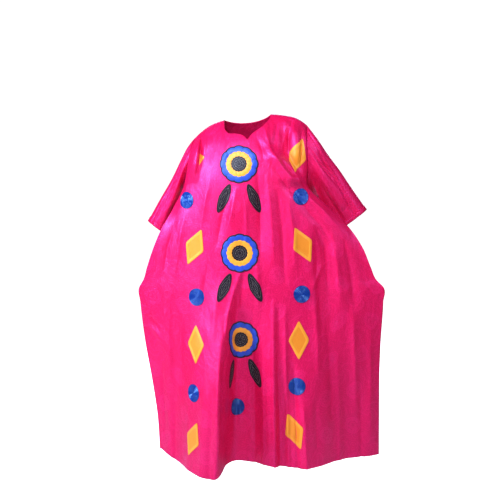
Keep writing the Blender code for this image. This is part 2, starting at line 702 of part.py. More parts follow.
def add_embroidery(front_skin):
    """Every piece that is stitched on the front panel."""
    pieces = [(SLIVER_NAME, *SLIVER_MIDDLE, SLIVER, "yellow")]
    pieces += [(p.name, p.x, p.drop, lozenge_outline(p.lean), "yellow") for p in LOZENGES]
    pieces += [(p.name, p.x, p.drop, round_outline(DISC_RADIUS, DISC_SIDES), "blue") for p in DISCS]
    for p in ROSETTES:
        pieces.append((p.name, p.x, p.drop, round_outline(ROSETTE_RADIUS, ROSETTE_SIDES), "blue"))
        for side, spread in (("left", LEAF_SPREAD), ("right", -LEAF_SPREAD)):
            leaf = p.name.replace("rosette", "leaf") + "_" + side
            pieces.append((leaf, p.x, p.drop, leaf_outline(spread), "dark"))
    for name, x, drop, steps, colour in pieces:
        side, down = np.array(steps).T
        outline = hull(spot(x, drop, side, down))
        add_patch(name, outline, front_skin, colour)


def main():
    """Clears the scene and builds the dress."""
    for old in list(bpy.data.objects):
        bpy.data.objects.remove(old)
    panels = {face: settle_panel(face) for face in ("front", "back")}
    for face, (outer, inner) in panels.items():
        add_object(face + "_panel", wall_mesh(outer, inner, False), "damask")
    for side in ("left", "right"):
        add_sleeve(side, panels)
    front_skin = skin_mesh(panels["front"][0])
    add_embroidery(front_skin)
    bpy.data.meshes.remove(front_skin)


main()
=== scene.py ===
"""The finished maxi dress: damask cloth with worn folds, relief embroidery and a plain studio.

Metres, and millimetres in the tables that in_metres reads. +X is the right in the front view, -Y
the front and +Z up. The origin lies between the shoulders, and a drop is a distance below it. The
surface follows the part's own tables, with finer folds on top of them.
"""

import logging
import math
from dataclasses import dataclass, field
from enum import Enum
from functools import cached_property
from typing import Callable, ClassVar, NamedTuple, Optional, Sequence, Union

import bmesh
import bpy
import numpy as np
from mathutils import Matrix, Vector

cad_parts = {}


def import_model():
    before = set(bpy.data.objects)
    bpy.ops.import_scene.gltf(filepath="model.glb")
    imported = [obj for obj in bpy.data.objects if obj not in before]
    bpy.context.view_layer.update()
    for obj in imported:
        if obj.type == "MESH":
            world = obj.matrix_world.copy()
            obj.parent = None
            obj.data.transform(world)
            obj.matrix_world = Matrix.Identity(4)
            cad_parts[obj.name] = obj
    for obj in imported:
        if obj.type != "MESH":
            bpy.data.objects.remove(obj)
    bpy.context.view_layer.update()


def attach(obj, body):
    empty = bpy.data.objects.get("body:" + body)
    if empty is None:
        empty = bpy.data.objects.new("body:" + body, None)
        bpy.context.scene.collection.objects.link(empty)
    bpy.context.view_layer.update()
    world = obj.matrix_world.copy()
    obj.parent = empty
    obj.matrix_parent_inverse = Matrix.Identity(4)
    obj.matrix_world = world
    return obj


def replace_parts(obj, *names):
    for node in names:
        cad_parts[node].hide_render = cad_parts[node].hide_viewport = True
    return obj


LOG = logging.getLogger("maxi_dress")
ROOT_BODY = "root"
UV_NAME = "Cloth"
SHEEN_ROUGHNESS = 0.35
COAT_ROUGHNESS = 0.24

Colour = tuple[float, float, float]
Array = np.ndarray
Numbers = Union[float, Array]
Piece = bpy.types.Object
Socket = bpy.types.NodeSocket
Value = Union[Socket, float]
Setting = Union[str, float, bool]


class Face(Enum):
    """The two panels, by the way they face."""

    FRONT = "front"
    BACK = "back"

    @property
    def outward(self) -> float:
        """The sign of y on the panel's outer side."""
        return -1.0 if self is Face.FRONT else 1.0


class Side(Enum):
    """The two sides, as the viewer sees them from the front."""

    LEFT = "left"
    RIGHT = "right"

    @property
    def sign(self) -> float:
        """The sign of x on this side."""
        return -1.0 if self is Side.LEFT else 1.0

    @property
    def column(self) -> int:
        """The index of a panel's edge column on this side."""
        return 0 if self is Side.LEFT else -1


class Slot(Enum):
    """The part's material slots."""

    DAMASK = "damask"
    YELLOW = "yellow"
    BLUE = "blue"
    DARK = "dark"


# Cloth and seams
CLOTH_THICKNESS = 0.0010
SEAM_GAP = 0.0004
ARMHOLE_GAP = 0.0006
PLAIN_SHARE = 0.62
CLOTH_MERGE = 0.00002
PATCH_MERGE = 0.00004

# Mesh density of the panels, as steps for each of the part's own, and rows of the skirt
DENSITY = 6
SKIRT_ROWS = 176
ARMHOLE_ROWS = 9
ROW_CROWDING = 0.55
SHOULDER_COLUMNS = {Face.FRONT: 9, Face.BACK: 7}
NECK_COLUMNS = {Face.FRONT: 16, Face.BACK: 10}
SLEEVE_RINGS = 64

# The armholes, as drops of the shoulder point and of the armpit
SHOULDER_DROP = {Side.LEFT: 0.085, Side.RIGHT: 0.030}
ARMPIT_DROP = {Side.LEFT: 0.270, Side.RIGHT: 0.285}
SHOULDER_Y = 0.012
ARMHOLE_REACH = {Face.FRONT: -0.054, Face.BACK: 0.072}
ARMHOLE_HIGH = {Face.FRONT: 0.75, Face.BACK: 0.85}
ARMHOLE_FADE = 0.080
SHOULDER_ROUND_NECK = 0.105
SHOULDER_ROUND_ARM = 0.060
EDGE_CALM = 0.035
ARMHOLE_POWER = 1.1
ARMPIT_SPREAD = 0.45
ROUND_FROM = 0.22
ROUND_FADE = 0.12

# How the cloth is shaped and spaced
FOLD_POWER = 2.4
LENS_POWER = 2.4
LENS_FULL = 0.35
BACK_CROWN = 0.3
HEM_CREASE_DROP = 1.40
PROBE = 0.002
SKIRT_CROWDING = 1.12
SKIRT_SAMPLES = 901
BY_CLOTH = 0.65
SEAM_STEPS = 4


class Level(NamedTuple):
    """The body's section at one drop.

    left and right are the side edges' x, seam their y, front and back the crowns' y and crown the
    front crown's x. The fall columns are how far from the crown the cloth falls away, share how
    much of the fullness is in the crown, and flank how the lens meets each edge.
    """

    drop: float
    left: float
    right: float
    seam: float
    front: float
    back: float
    crown: float
    fall_left: float
    fall_right: float
    back_fall: float
    share: float
    flank_left: float
    flank_right: float


LEVELS = [
    Level(0.00, -0.202, 0.232, 0.012, -0.050, 0.055, -0.010, 0.18, 0.18, 0.17, 0.35, 0.60, 0.60),
    Level(0.06, -0.210, 0.231, 0.010, -0.084, 0.082, -0.012, 0.19, 0.18, 0.17, 0.35, 0.55, 0.60),
    Level(0.12, -0.226, 0.232, 0.006, -0.112, 0.103, -0.015, 0.20, 0.18, 0.17, 0.35, 0.55, 0.60),
    Level(0.20, -0.243, 0.235, 0.002, -0.136, 0.116, -0.020, 0.21, 0.19, 0.17, 0.40, 0.55, 0.60),
    Level(0.28, -0.263, 0.241, 0.000, -0.144, 0.116, -0.025, 0.22, 0.32, 0.16, 0.50, 0.60, 0.55),
    Level(0.36, -0.299, 0.322, -0.016, -0.144, 0.108, -0.030, 0.22, 0.34, 0.16, 0.60, 0.80, 0.60),
    Level(0.44, -0.345, 0.401, -0.030, -0.143, 0.106, -0.035, 0.21, 0.35, 0.17, 0.66, 1.00, 0.80),
    Level(0.52, -0.379, 0.455, -0.036, -0.146, 0.112, -0.040, 0.20, 0.35, 0.20, 0.68, 1.10, 1.00),
    Level(0.60, -0.406, 0.489, -0.032, -0.150, 0.122, -0.045, 0.20, 0.35, 0.23, 0.66, 1.10, 1.10),
    Level(0.65, -0.421, 0.512, -0.028, -0.152, 0.128, -0.050, 0.20, 0.35, 0.25, 0.62, 1.05, 1.05),
    Level(0.68, -0.438, 0.541, -0.026, -0.153, 0.132, -0.052, 0.20, 0.35, 0.26, 0.60, 1.05, 1.05),
    Level(0.74, -0.434, 0.541, -0.022, -0.154, 0.138, -0.055, 0.20, 0.35, 0.27, 0.58, 1.00, 1.00),
    Level(0.90, -0.416, 0.533, -0.012, -0.156, 0.148, -0.060, 0.20, 0.35, 0.29, 0.50, 0.95, 0.95),
    Level(1.05, -0.391, 0.530, -0.004, -0.154, 0.152, -0.060, 0.20, 0.35, 0.30, 0.45, 0.90, 0.90),
    Level(1.20, -0.370, 0.531, 0.002, -0.148, 0.150, -0.060, 0.20, 0.35, 0.30, 0.40, 0.85, 0.85),
    Level(1.40, -0.359, 0.532, 0.006, -0.138, 0.146, -0.060, 0.20, 0.35, 0.30, 0.35, 0.85, 0.85),
]


def metres(value: Union[float, tuple]) -> Union[float, tuple]:
    """Millimetres as metres, for a number or for nested tuples of them."""
    return tuple(map(metres, value)) if isinstance(value, tuple) else value / 1000


def in_metres(kind: type, tables: dict[Face, list[tuple]]) -> dict[Face, list]:
    """Each panel's rows in millimetres, as rows of one kind in metres."""
    return {face: [kind(*metres(row)) for row in rows] for face, rows in tables.items()}


class Point(NamedTuple):
    """A place in the front view."""

    x: float
    drop: float


SHOULDER_LINE = [
    Point(*metres(row))
    for row in (
        (-215, 85), (-190, 61), (-152, 33), (-120, 19), (-95.5, 12), (0, -4), (91, -12),
        (150, -6), (190, 3), (215, 17), (232, 30),
    )
]
NECKLINE = in_metres(Point, {
    Face.FRONT: [
        (-95.5, 12), (-94.5, 32), (-91.5, 52), (-79, 67), (-50, 70), (-20, 78), (-4, 94),
        (20, 66), (45, 48), (66, 30), (82, 10), (91, -12),
    ],
    Face.BACK: [
        (-95.5, 12), (-70, 18), (-30, 22), (10, 19), (55, 8), (80, -4), (91, -12),
    ],
})
HEM = in_metres(Point, {
    Face.FRONT: [
        (-360, 1340), (-280, 1374), (-190, 1398), (-120, 1398), (-80, 1378), (40, 1374),
        (200, 1384), (360, 1372), (540, 1366),
    ],
    Face.BACK: [
        (-360, 1340), (-200, 1364), (50, 1372), (300, 1372), (540, 1366),
    ],
})


class Fold(NamedTuple):
    """A broad fold from x_top at drop top to x_low at drop low.

    left and right are how far it falls away beside its line, and rise how far it stands out, or
    in where it is negative.
    """

    x_top: float
    top: float
    x_low: float
    low: float
    left: float
    right: float
    rise: float
    fade_top: float
    fade_low: float


FOLDS = in_metres(Fold, {
    Face.FRONT: [
        # The large fold that stands forward on the left, with a steep inner side
        (-72, 620, -136, 1420, 150, 36, 120, 600, 10),
        (-35, 600, -45, 1420, 45, 110, -58, 400, 10),
        # The fold down the middle and the two that stand beside it
        (88, 700, 92, 1420, 30, 45, 22, 300, 10),
        (150, 950, 152, 1420, 35, 40, -20, 250, 10),
        (215, 750, 235, 1420, 75, 100, 42, 500, 10),
        (375, 850, 385, 1420, 60, 60, -20, 400, 10),
        # The groove that runs from the right side of the waist to the hip
        (262, 420, 300, 920, 16, 50, -20, 120, 200),
        # Pulled from the chest towards the right side seam
        (85, 110, 226, 290, 70, 20, 34, 70, 50),
        (140, 20, 150, 200, 18, 22, -20, 50, 60),
        (178, 20, 200, 220, 22, 20, 16, 50, 70),
        # The closed pleat beside the left armhole, over most of the first lozenge
        (-198, 60, -206, 270, 30, 9, 22, 50, 80),
        # Soft folds on the far side of the large one
        (-285, 780, -270, 1420, 30, 30, -16, 300, 10),
        (-45, 280, -85, 620, 22, 40, 12, 100, 200),
        (40, 220, 55, 660, 30, 30, -12, 150, 250),
    ],
    Face.BACK: [
        (-230, 400, -250, 1420, 70, 60, 50, 600, 10),
        (-120, 400, -130, 1420, 50, 60, -45, 600, 10),
        (-10, 300, -20, 1420, 60, 70, 40, 600, 10),
        (110, 350, 110, 1420, 60, 50, -50, 600, 10),
        (215, 450, 235, 1420, 60, 80, 55, 600, 10),
        (350, 550, 370, 1420, 60, 60, -30, 500, 10),
        (-165, 100, -150, 340, 25, 30, -14, 80, 150),
        (165, 100, 155, 340, 30, 25, -14, 80, 150),
    ],
})


class Crease(NamedTuple):
    """A finer fold along a line of places, with its own half-widths and rise.

    The line runs downwards, so left and right are the viewer's.
    """

    line: tuple[tuple[float, float], ...]
    left: float
    right: float
    rise: float


CREASES = in_metres(Crease, {
    Face.FRONT: [
        # Taut over the chest towards the right side seam, with a deep recess above it
        (((70, 110), (128, 196), (171, 249), (212, 276)), 20, 10, 10.5),
        (((128, 176), (160, 215), (190, 238)), 10, 10, -13.5),
        (((60, 128), (110, 222), (150, 282), (200, 325)), 12, 14, -7.5),
        (((212, 290), (250, 330), (300, 375), (350, 430)), 12, 10, 9),
        (((180, 310), (235, 375), (290, 440), (340, 520)), 14, 12, -7.5),
        # Shoulder folds on the right
        (((172, 22), (160, 75), (158, 133)), 7, 6, -10.5),
        (((150, 18), (142, 80), (132, 140)), 10, 8, 7.5),
        (((214, 60), (208, 130), (205, 200)), 8, 8, -12),
        (((112, 20), (108, 70), (96, 120)), 12, 12, -6),
        # The left armhole: the closed pleat's shadow and the light line beside it
        (((-187, 70), (-190, 150), (-205, 235)), 4, 7, -10.5),
        (((-214, 164), (-236, 239), (-256, 300)), 6, 7, 7.5),
        (((-167, 60), (-170, 100), (-172, 150)), 6, 10, 6),
        (((-140, 50), (-138, 110), (-146, 180)), 12, 14, -4.5),
        # From the neck's notch and the collar bone
        (((-60, 85), (-85, 130), (-100, 190)), 12, 16, 4.5),
        (((30, 78), (50, 130), (62, 190)), 10, 14, -4.5),
        (((64, 50), (78, 100), (90, 150)), 9, 10, 4.5),
        # Across the belly, soft and nearly upright
        (((-49, 290), (-66, 375), (-90, 470)), 9, 14, 7.5),
        (((-80, 310), (-102, 400), (-122, 500)), 14, 12, -6),
        (((-150, 250), (-170, 340), (-186, 440)), 18, 14, 6),
        (((34, 210), (42, 360), (46, 520)), 12, 14, -7.5),
        (((72, 240), (86, 380), (98, 560)), 14, 16, 7.5),
        (((112, 300), (128, 430), (142, 640)), 14, 14, -9),
        (((155, 330), (172, 440), (182, 590)), 12, 16, 6),
        (((30, 540), (36, 640), (40, 760)), 14, 16, 6),
        (((-12, 330), (-8, 420), (-12, 500)), 10, 12, 4.5),
        # Where the large fold starts
        (((-30, 610), (-58, 690), (-80, 780), (-96, 930)), 10, 8, 9),
        (((-20, 620), (-40, 720), (-56, 830)), 8, 12, -9),
        (((-110, 640), (-130, 760), (-140, 880)), 16, 18, 6),
        (((-160, 590), (-176, 680), (-182, 800)), 12, 16, -6),
        # The large fold's own soft sub-folds
        (((-125, 950), (-140, 1120), (-150, 1300), (-152, 1420)), 14, 14, -6),
        (((-168, 1000), (-182, 1180), (-190, 1420)), 14, 18, 4.5),
        # The large fold's sharp inner edge and the hollow under it
        (((-100, 840), (-112, 980), (-117, 1150), (-112, 1300), (-106, 1420)), 30, 8, 12),
        (((-84, 860), (-96, 980), (-100, 1150), (-95, 1300), (-88, 1420)), 8, 26, -18),
        # The trough beside it, with thin creases on its right side
        (((-62, 980), (-78, 1110), (-90, 1280), (-94, 1420)), 8, 12, -9),
        (((-30, 960), (-34, 1080), (-36, 1230)), 10, 10, 4.5),
        (((-13, 1147), (6, 1155), (26, 1158)), 4, 5, 4.5),
        (((-28, 1178), (-12, 1182), (4, 1180)), 4, 5, 4.5),
        (((10, 800), (18, 960), (24, 1150), (26, 1420)), 12, 14, -7.5),
        (((52, 860), (56, 1050), (58, 1420)), 12, 12, 7.5),
        (((96, 730), (96, 950), (100, 1200), (104, 1420)), 7, 10, 10.5),
        (((114, 760), (116, 1000), (122, 1250), (124, 1420)), 6, 9, -10.5),
        (((142, 760), (146, 1000), (154, 1220), (160, 1420)), 10, 12, 9),
        (((176, 980), (186, 1180), (194, 1420)), 10, 12, -9),
        (((214, 1130), (222, 1260), (232, 1420)), 12, 16, 9),
        (((263, 1120), (266, 1210), (268, 1310)), 12, 18, -7.5),
        # The right side of the waist and hip
        (((268, 445), (292, 520), (302, 610), (309, 690)), 8, 10, -10.5),
        (((288, 585), (274, 630), (258, 675)), 10, 8, 9),
        (((330, 470), (350, 580), (362, 720)), 16, 18, 7.5),
        (((380, 500), (404, 600), (420, 740)), 14, 18, -7.5),
        (((262, 720), (270, 860), (276, 1020)), 16, 18, 6),
        (((310, 800), (322, 980), (330, 1180)), 18, 20, -7.5),
        (((352, 960), (362, 1160), (368, 1420)), 18, 20, 9),
        (((415, 780), (425, 980), (430, 1200)), 18, 20, 9),
        (((446, 1020), (452, 1210), (456, 1420)), 16, 18, -9),
        (((490, 860), (492, 1060), (494, 1300)), 14, 14, 6),
        # The left side of the skirt
        (((-395, 795), (-378, 822), (-358, 856)), 6, 7, -9),
        (((-400, 830), (-378, 852), (-352, 890)), 6, 8, 6),
        (((-268, 790), (-266, 940), (-262, 1120)), 14, 16, -7.5),
        (((-312, 700), (-318, 860), (-312, 1060)), 18, 18, 7.5),
        (((-350, 930), (-344, 1100), (-334, 1300)), 14, 14, -7.5),
        (((-298, 1120), (-296, 1260), (-294, 1400)), 14, 14, -7.5),
        (((-238, 1130), (-240, 1260), (-242, 1410)), 14, 16, 6),
        (((-290, 420), (-322, 520), (-340, 640)), 14, 14, -7.5),
        (((-250, 380), (-272, 480), (-290, 620)), 14, 16, 6),
    ],
    Face.BACK: [
        (((-70, 40), (-90, 130), (-120, 230)), 14, 16, 6),
        (((75, 20), (95, 110), (120, 220)), 14, 16, 6),
        (((0, 50), (4, 180), (-6, 340)), 18, 20, -7.5),
        (((-190, 140), (-200, 240), (-215, 350)), 10, 12, -9),
        (((195, 110), (205, 230), (225, 340)), 12, 10, -9),
        (((-60, 330), (-74, 520), (-78, 740)), 14, 18, 9),
        (((56, 300), (60, 500), (64, 760)), 16, 14, 9),
        (((160, 360), (172, 540), (170, 800)), 14, 16, -9),
        (((-180, 400), (-196, 600), (-200, 860)), 16, 14, -9),
        (((-300, 480), (-322, 640), (-326, 900)), 16, 18, 9),
        (((286, 420), (312, 620), (320, 880)), 18, 16, 9),
        (((395, 540), (428, 720), (430, 960)), 16, 16, -9),
        (((-46, 820), (-60, 1050), (-66, 1420)), 14, 16, -10.5),
        (((36, 780), (44, 1020), (48, 1420)), 16, 14, -9),
        (((168, 860), (166, 1100), (170, 1420)), 12, 14, 10.5),
        (((-178, 900), (-188, 1120), (-190, 1420)), 14, 12, -10.5),
        (((-300, 960), (-300, 1180), (-296, 1420)), 14, 14, 9),
        (((292, 940), (300, 1160), (306, 1420)), 14, 16, -10.5),
        (((430, 1020), (436, 1210), (440, 1420)), 16, 16, 9),
        (((-120, 620), (-126, 760), (-124, 940)), 12, 14, 6),
        (((110, 660), (112, 820), (108, 980)), 12, 12, 6),
    ],
})


# How peaked the creases are, and how their widths and rises are scaled
CREASE_POWER = 1.3
CREASE_WIDTH = 0.82
CREASE_RISE = 1.25


class Ring(NamedTuple):
    """One ring of a sleeve: its upper and lower edge as seen from the front, middle and depth."""

    share: float
    top_x: float
    top_drop: float
    low_x: float
    low_drop: float
    y: float
    depth: float
    lag: float


SLEEVES = {
    Side.LEFT: [
        Ring(0.00, -0.215, 0.085, -0.260, 0.270, 0.010, 0.062, 0.020),
        Ring(0.12, -0.238, 0.112, -0.272, 0.302, 0.034, 0.072, 0.070),
        Ring(0.30, -0.271, 0.169, -0.281, 0.338, 0.056, 0.080, 0.050),
        Ring(0.50, -0.309, 0.243, -0.290, 0.384, 0.068, 0.074, 0.035),
        Ring(0.75, -0.358, 0.325, -0.302, 0.436, 0.074, 0.066, 0.020),
        Ring(1.00, -0.410, 0.416, -0.318, 0.484, 0.080, 0.060, 0.010),
    ],
    Side.RIGHT: [
        Ring(0.00, 0.232, 0.030, 0.242, 0.285, 0.010, 0.062, 0.020),
        Ring(0.12, 0.268, 0.076, 0.254, 0.302, 0.034, 0.074, 0.070),
        Ring(0.30, 0.318, 0.145, 0.278, 0.338, 0.056, 0.082, 0.050),
        Ring(0.50, 0.368, 0.209, 0.300, 0.377, 0.068, 0.076, 0.035),
        Ring(0.75, 0.425, 0.291, 0.327, 0.423, 0.073, 0.068, 0.020),
        Ring(1.00, 0.482, 0.370, 0.352, 0.466, 0.078, 0.062, 0.010),
    ],
}


class SleeveFold(NamedTuple):
    """A fold along a sleeve. A turn is 0 at its upper edge, 0.25 at its front, 0.5 at its low one."""

    share_from: float
    share_to: float
    turn_from: float
    turn_to: float
    width: float
    rise: float


SLEEVE_FOLDS = {
    Side.LEFT: [
        SleeveFold(0.05, 0.95, 0.26, 0.24, 0.050, 0.014),
        SleeveFold(0.05, 0.70, 0.14, 0.15, 0.040, -0.009),
        SleeveFold(0.30, 1.10, 0.78, 0.72, 0.060, 0.010),
    ],
    Side.RIGHT: [
        SleeveFold(0.02, 0.80, 0.27, 0.24, 0.050, 0.018),
        SleeveFold(0.05, 0.60, 0.16, 0.12, 0.040, -0.012),
        SleeveFold(0.30, 1.10, 0.78, 0.72, 0.060, 0.010),
    ],
}
FINE_SLEEVE_FOLDS = {
    Side.LEFT: [
        SleeveFold(-0.10, 0.55, 0.08, 0.20, 0.0153, -0.0100),
        SleeveFold(0.10, 0.80, 0.19, 0.17, 0.0119, 0.0085),
        SleeveFold(0.30, 1.20, 0.31, 0.30, 0.0153, -0.0085),
        SleeveFold(0.45, 1.30, 0.12, 0.16, 0.0170, -0.0085),
        SleeveFold(0.20, 0.70, 0.37, 0.40, 0.0136, 0.0085),
        SleeveFold(0.00, 0.60, 0.62, 0.66, 0.0187, -0.0100),
        SleeveFold(0.25, 1.20, 0.86, 0.88, 0.0187, -0.0085),
        SleeveFold(0.05, 0.55, 0.92, 0.90, 0.0136, 0.0070),
    ],
    Side.RIGHT: [
        SleeveFold(-0.15, 0.45, 0.06, 0.18, 0.0119, -0.0135),
        SleeveFold(-0.05, 0.60, 0.11, 0.15, 0.0102, 0.0100),
        SleeveFold(0.00, 0.55, 0.21, 0.19, 0.0102, -0.0100),
        SleeveFold(0.25, 0.95, 0.30, 0.31, 0.0153, -0.0100),
        SleeveFold(0.40, 1.20, 0.16, 0.20, 0.0170, -0.0100),
        SleeveFold(0.15, 0.65, 0.36, 0.42, 0.0136, 0.0100),
        SleeveFold(0.00, 0.60, 0.64, 0.60, 0.0187, -0.0100),
        SleeveFold(0.25, 1.20, 0.86, 0.84, 0.0187, -0.0085),
        SleeveFold(0.05, 0.55, 0.94, 0.92, 0.0136, 0.0070),
    ],
}
SLEEVE_SETTLE = 0.18
CUFF_SHARE = 0.065

# Embroidery
LOZENGE_LONG = 0.078
LOZENGE_SHORT = 0.043
DISC_RADIUS = 0.034
ROSETTE_RADIUS = 0.076
LEAF_LENGTH = 0.120
LEAF_HALF_WIDTH = 0.021
LEAF_SPREAD = math.radians(24)
LEAF_START = 0.087
SLIVER = Point(-0.186, 0.168)
SLIVER_STEPS = ((-0.008, -0.022), (0.016, -0.006), (-0.010, 0.030))
WALK_STEPS = 24
PATCH_LIFT = 0.0006
UNDER_ROWS = 14


class LozengeSpot(NamedTuple):
    """A lozenge's place, and how far its long diagonal leans in degrees."""

    name: str
    x: float
    drop: float
    lean: float


class Spot(NamedTuple):
    """A named place on the front panel."""

    name: str
    x: float
    drop: float


LOZENGES = [
    LozengeSpot("lozenge_left_2", -0.211, 0.514, -24),
    LozengeSpot("lozenge_left_3", -0.205, 0.892, 0),
    LozengeSpot("lozenge_left_4", -0.217, 1.258, -24),
    LozengeSpot("lozenge_right_1", 0.193, 0.157, -20),
    LozengeSpot("lozenge_right_2", 0.212, 0.505, 26),
    LozengeSpot("lozenge_right_3", 0.197, 0.878, 0),
    LozengeSpot("lozenge_right_4", 0.180, 1.236, 24),
]
DISCS = [
    Spot("disc_left_1", -0.244, 0.331),
    Spot("disc_left_2", -0.203, 0.710),
    Spot("disc_left_3", -0.213, 1.079),
    Spot("disc_right_1", 0.205, 0.316),
    Spot("disc_right_2", 0.209, 0.698),
    Spot("disc_right_3", 0.189, 1.058),
    Spot("disc_middle", -0.049, 1.149),
]
ROSETTES = [
    Spot("rosette_upper", -0.037, 0.190),
    Spot("rosette_middle", -0.034, 0.535),
    Spot("rosette_lower", -0.032, 0.878),
]


def column(rows: Sequence[NamedTuple], name: str) -> Array:
    """One named column of a table."""
    return np.array([getattr(row, name) for row in rows], float)


class Curve:
    """A smooth curve through knots."""

    def __init__(self, knots: Array, values: Array) -> None:
        """Works out the slopes.

        Args:
            knots: rising places.
            values: the curve's value at each of them.
        """
        self.knots, self.values = knots, values
        self.slopes = np.gradient(values, knots)

    def __call__(self, places: Numbers) -> Array:
        """The curve's values at the given places.

        Args:
            places: where to read the curve.

        Returns:
            One value for each place.
        """
        places = np.asarray(places, float)
        knots, values, slopes = self.knots, self.values, self.slopes
        i = np.clip(np.searchsorted(knots, places) - 1, 0, len(knots) - 2)
        span = knots[i + 1] - knots[i]
        t = np.clip((places - knots[i]) / span, 0.0, 1.0)
        rest = 1.0 - t
        start = rest * rest * (1.0 + 2.0 * t) * values[i] + t * rest * rest * span * slopes[i]
        end = t * t * (3.0 - 2.0 * t) * values[i + 1] - t * t * rest * span * slopes[i + 1]
        return start + end

    @classmethod
    def of(cls, rows: Sequence[NamedTuple], knots: str, values: str) -> "Curve":
        """The curve through two columns of a table."""
        return cls(column(rows, knots), column(rows, values))


def eased(t: Numbers) -> Array:
    """0 to 1 with a soft start and end."""
    t = np.clip(t, 0.0, 1.0)
    return t * t * (3.0 - 2.0 * t)


def run_length(points: Array) -> Array:
    """The distance walked along a line of points, starting at 0."""
    steps = np.linalg.norm(np.diff(points, axis=0), axis=1)
    return np.concatenate([[0.0], np.cumsum(steps)])


def resampled(points: Array, pitch: float) -> Array:
    """Points at an even pitch along a line of points.

    Args:
        points: the line's points.
        pitch: the distance between two of the new points.

    Returns:
        The new points, with both ends kept.
    """
    walked = run_length(points)
    places = np.linspace(0.0, walked[-1], max(int(walked[-1] / pitch), 2) + 1)
    return np.stack([np.interp(places, walked, points[:, k]) for k in range(points.shape[1])], 1)


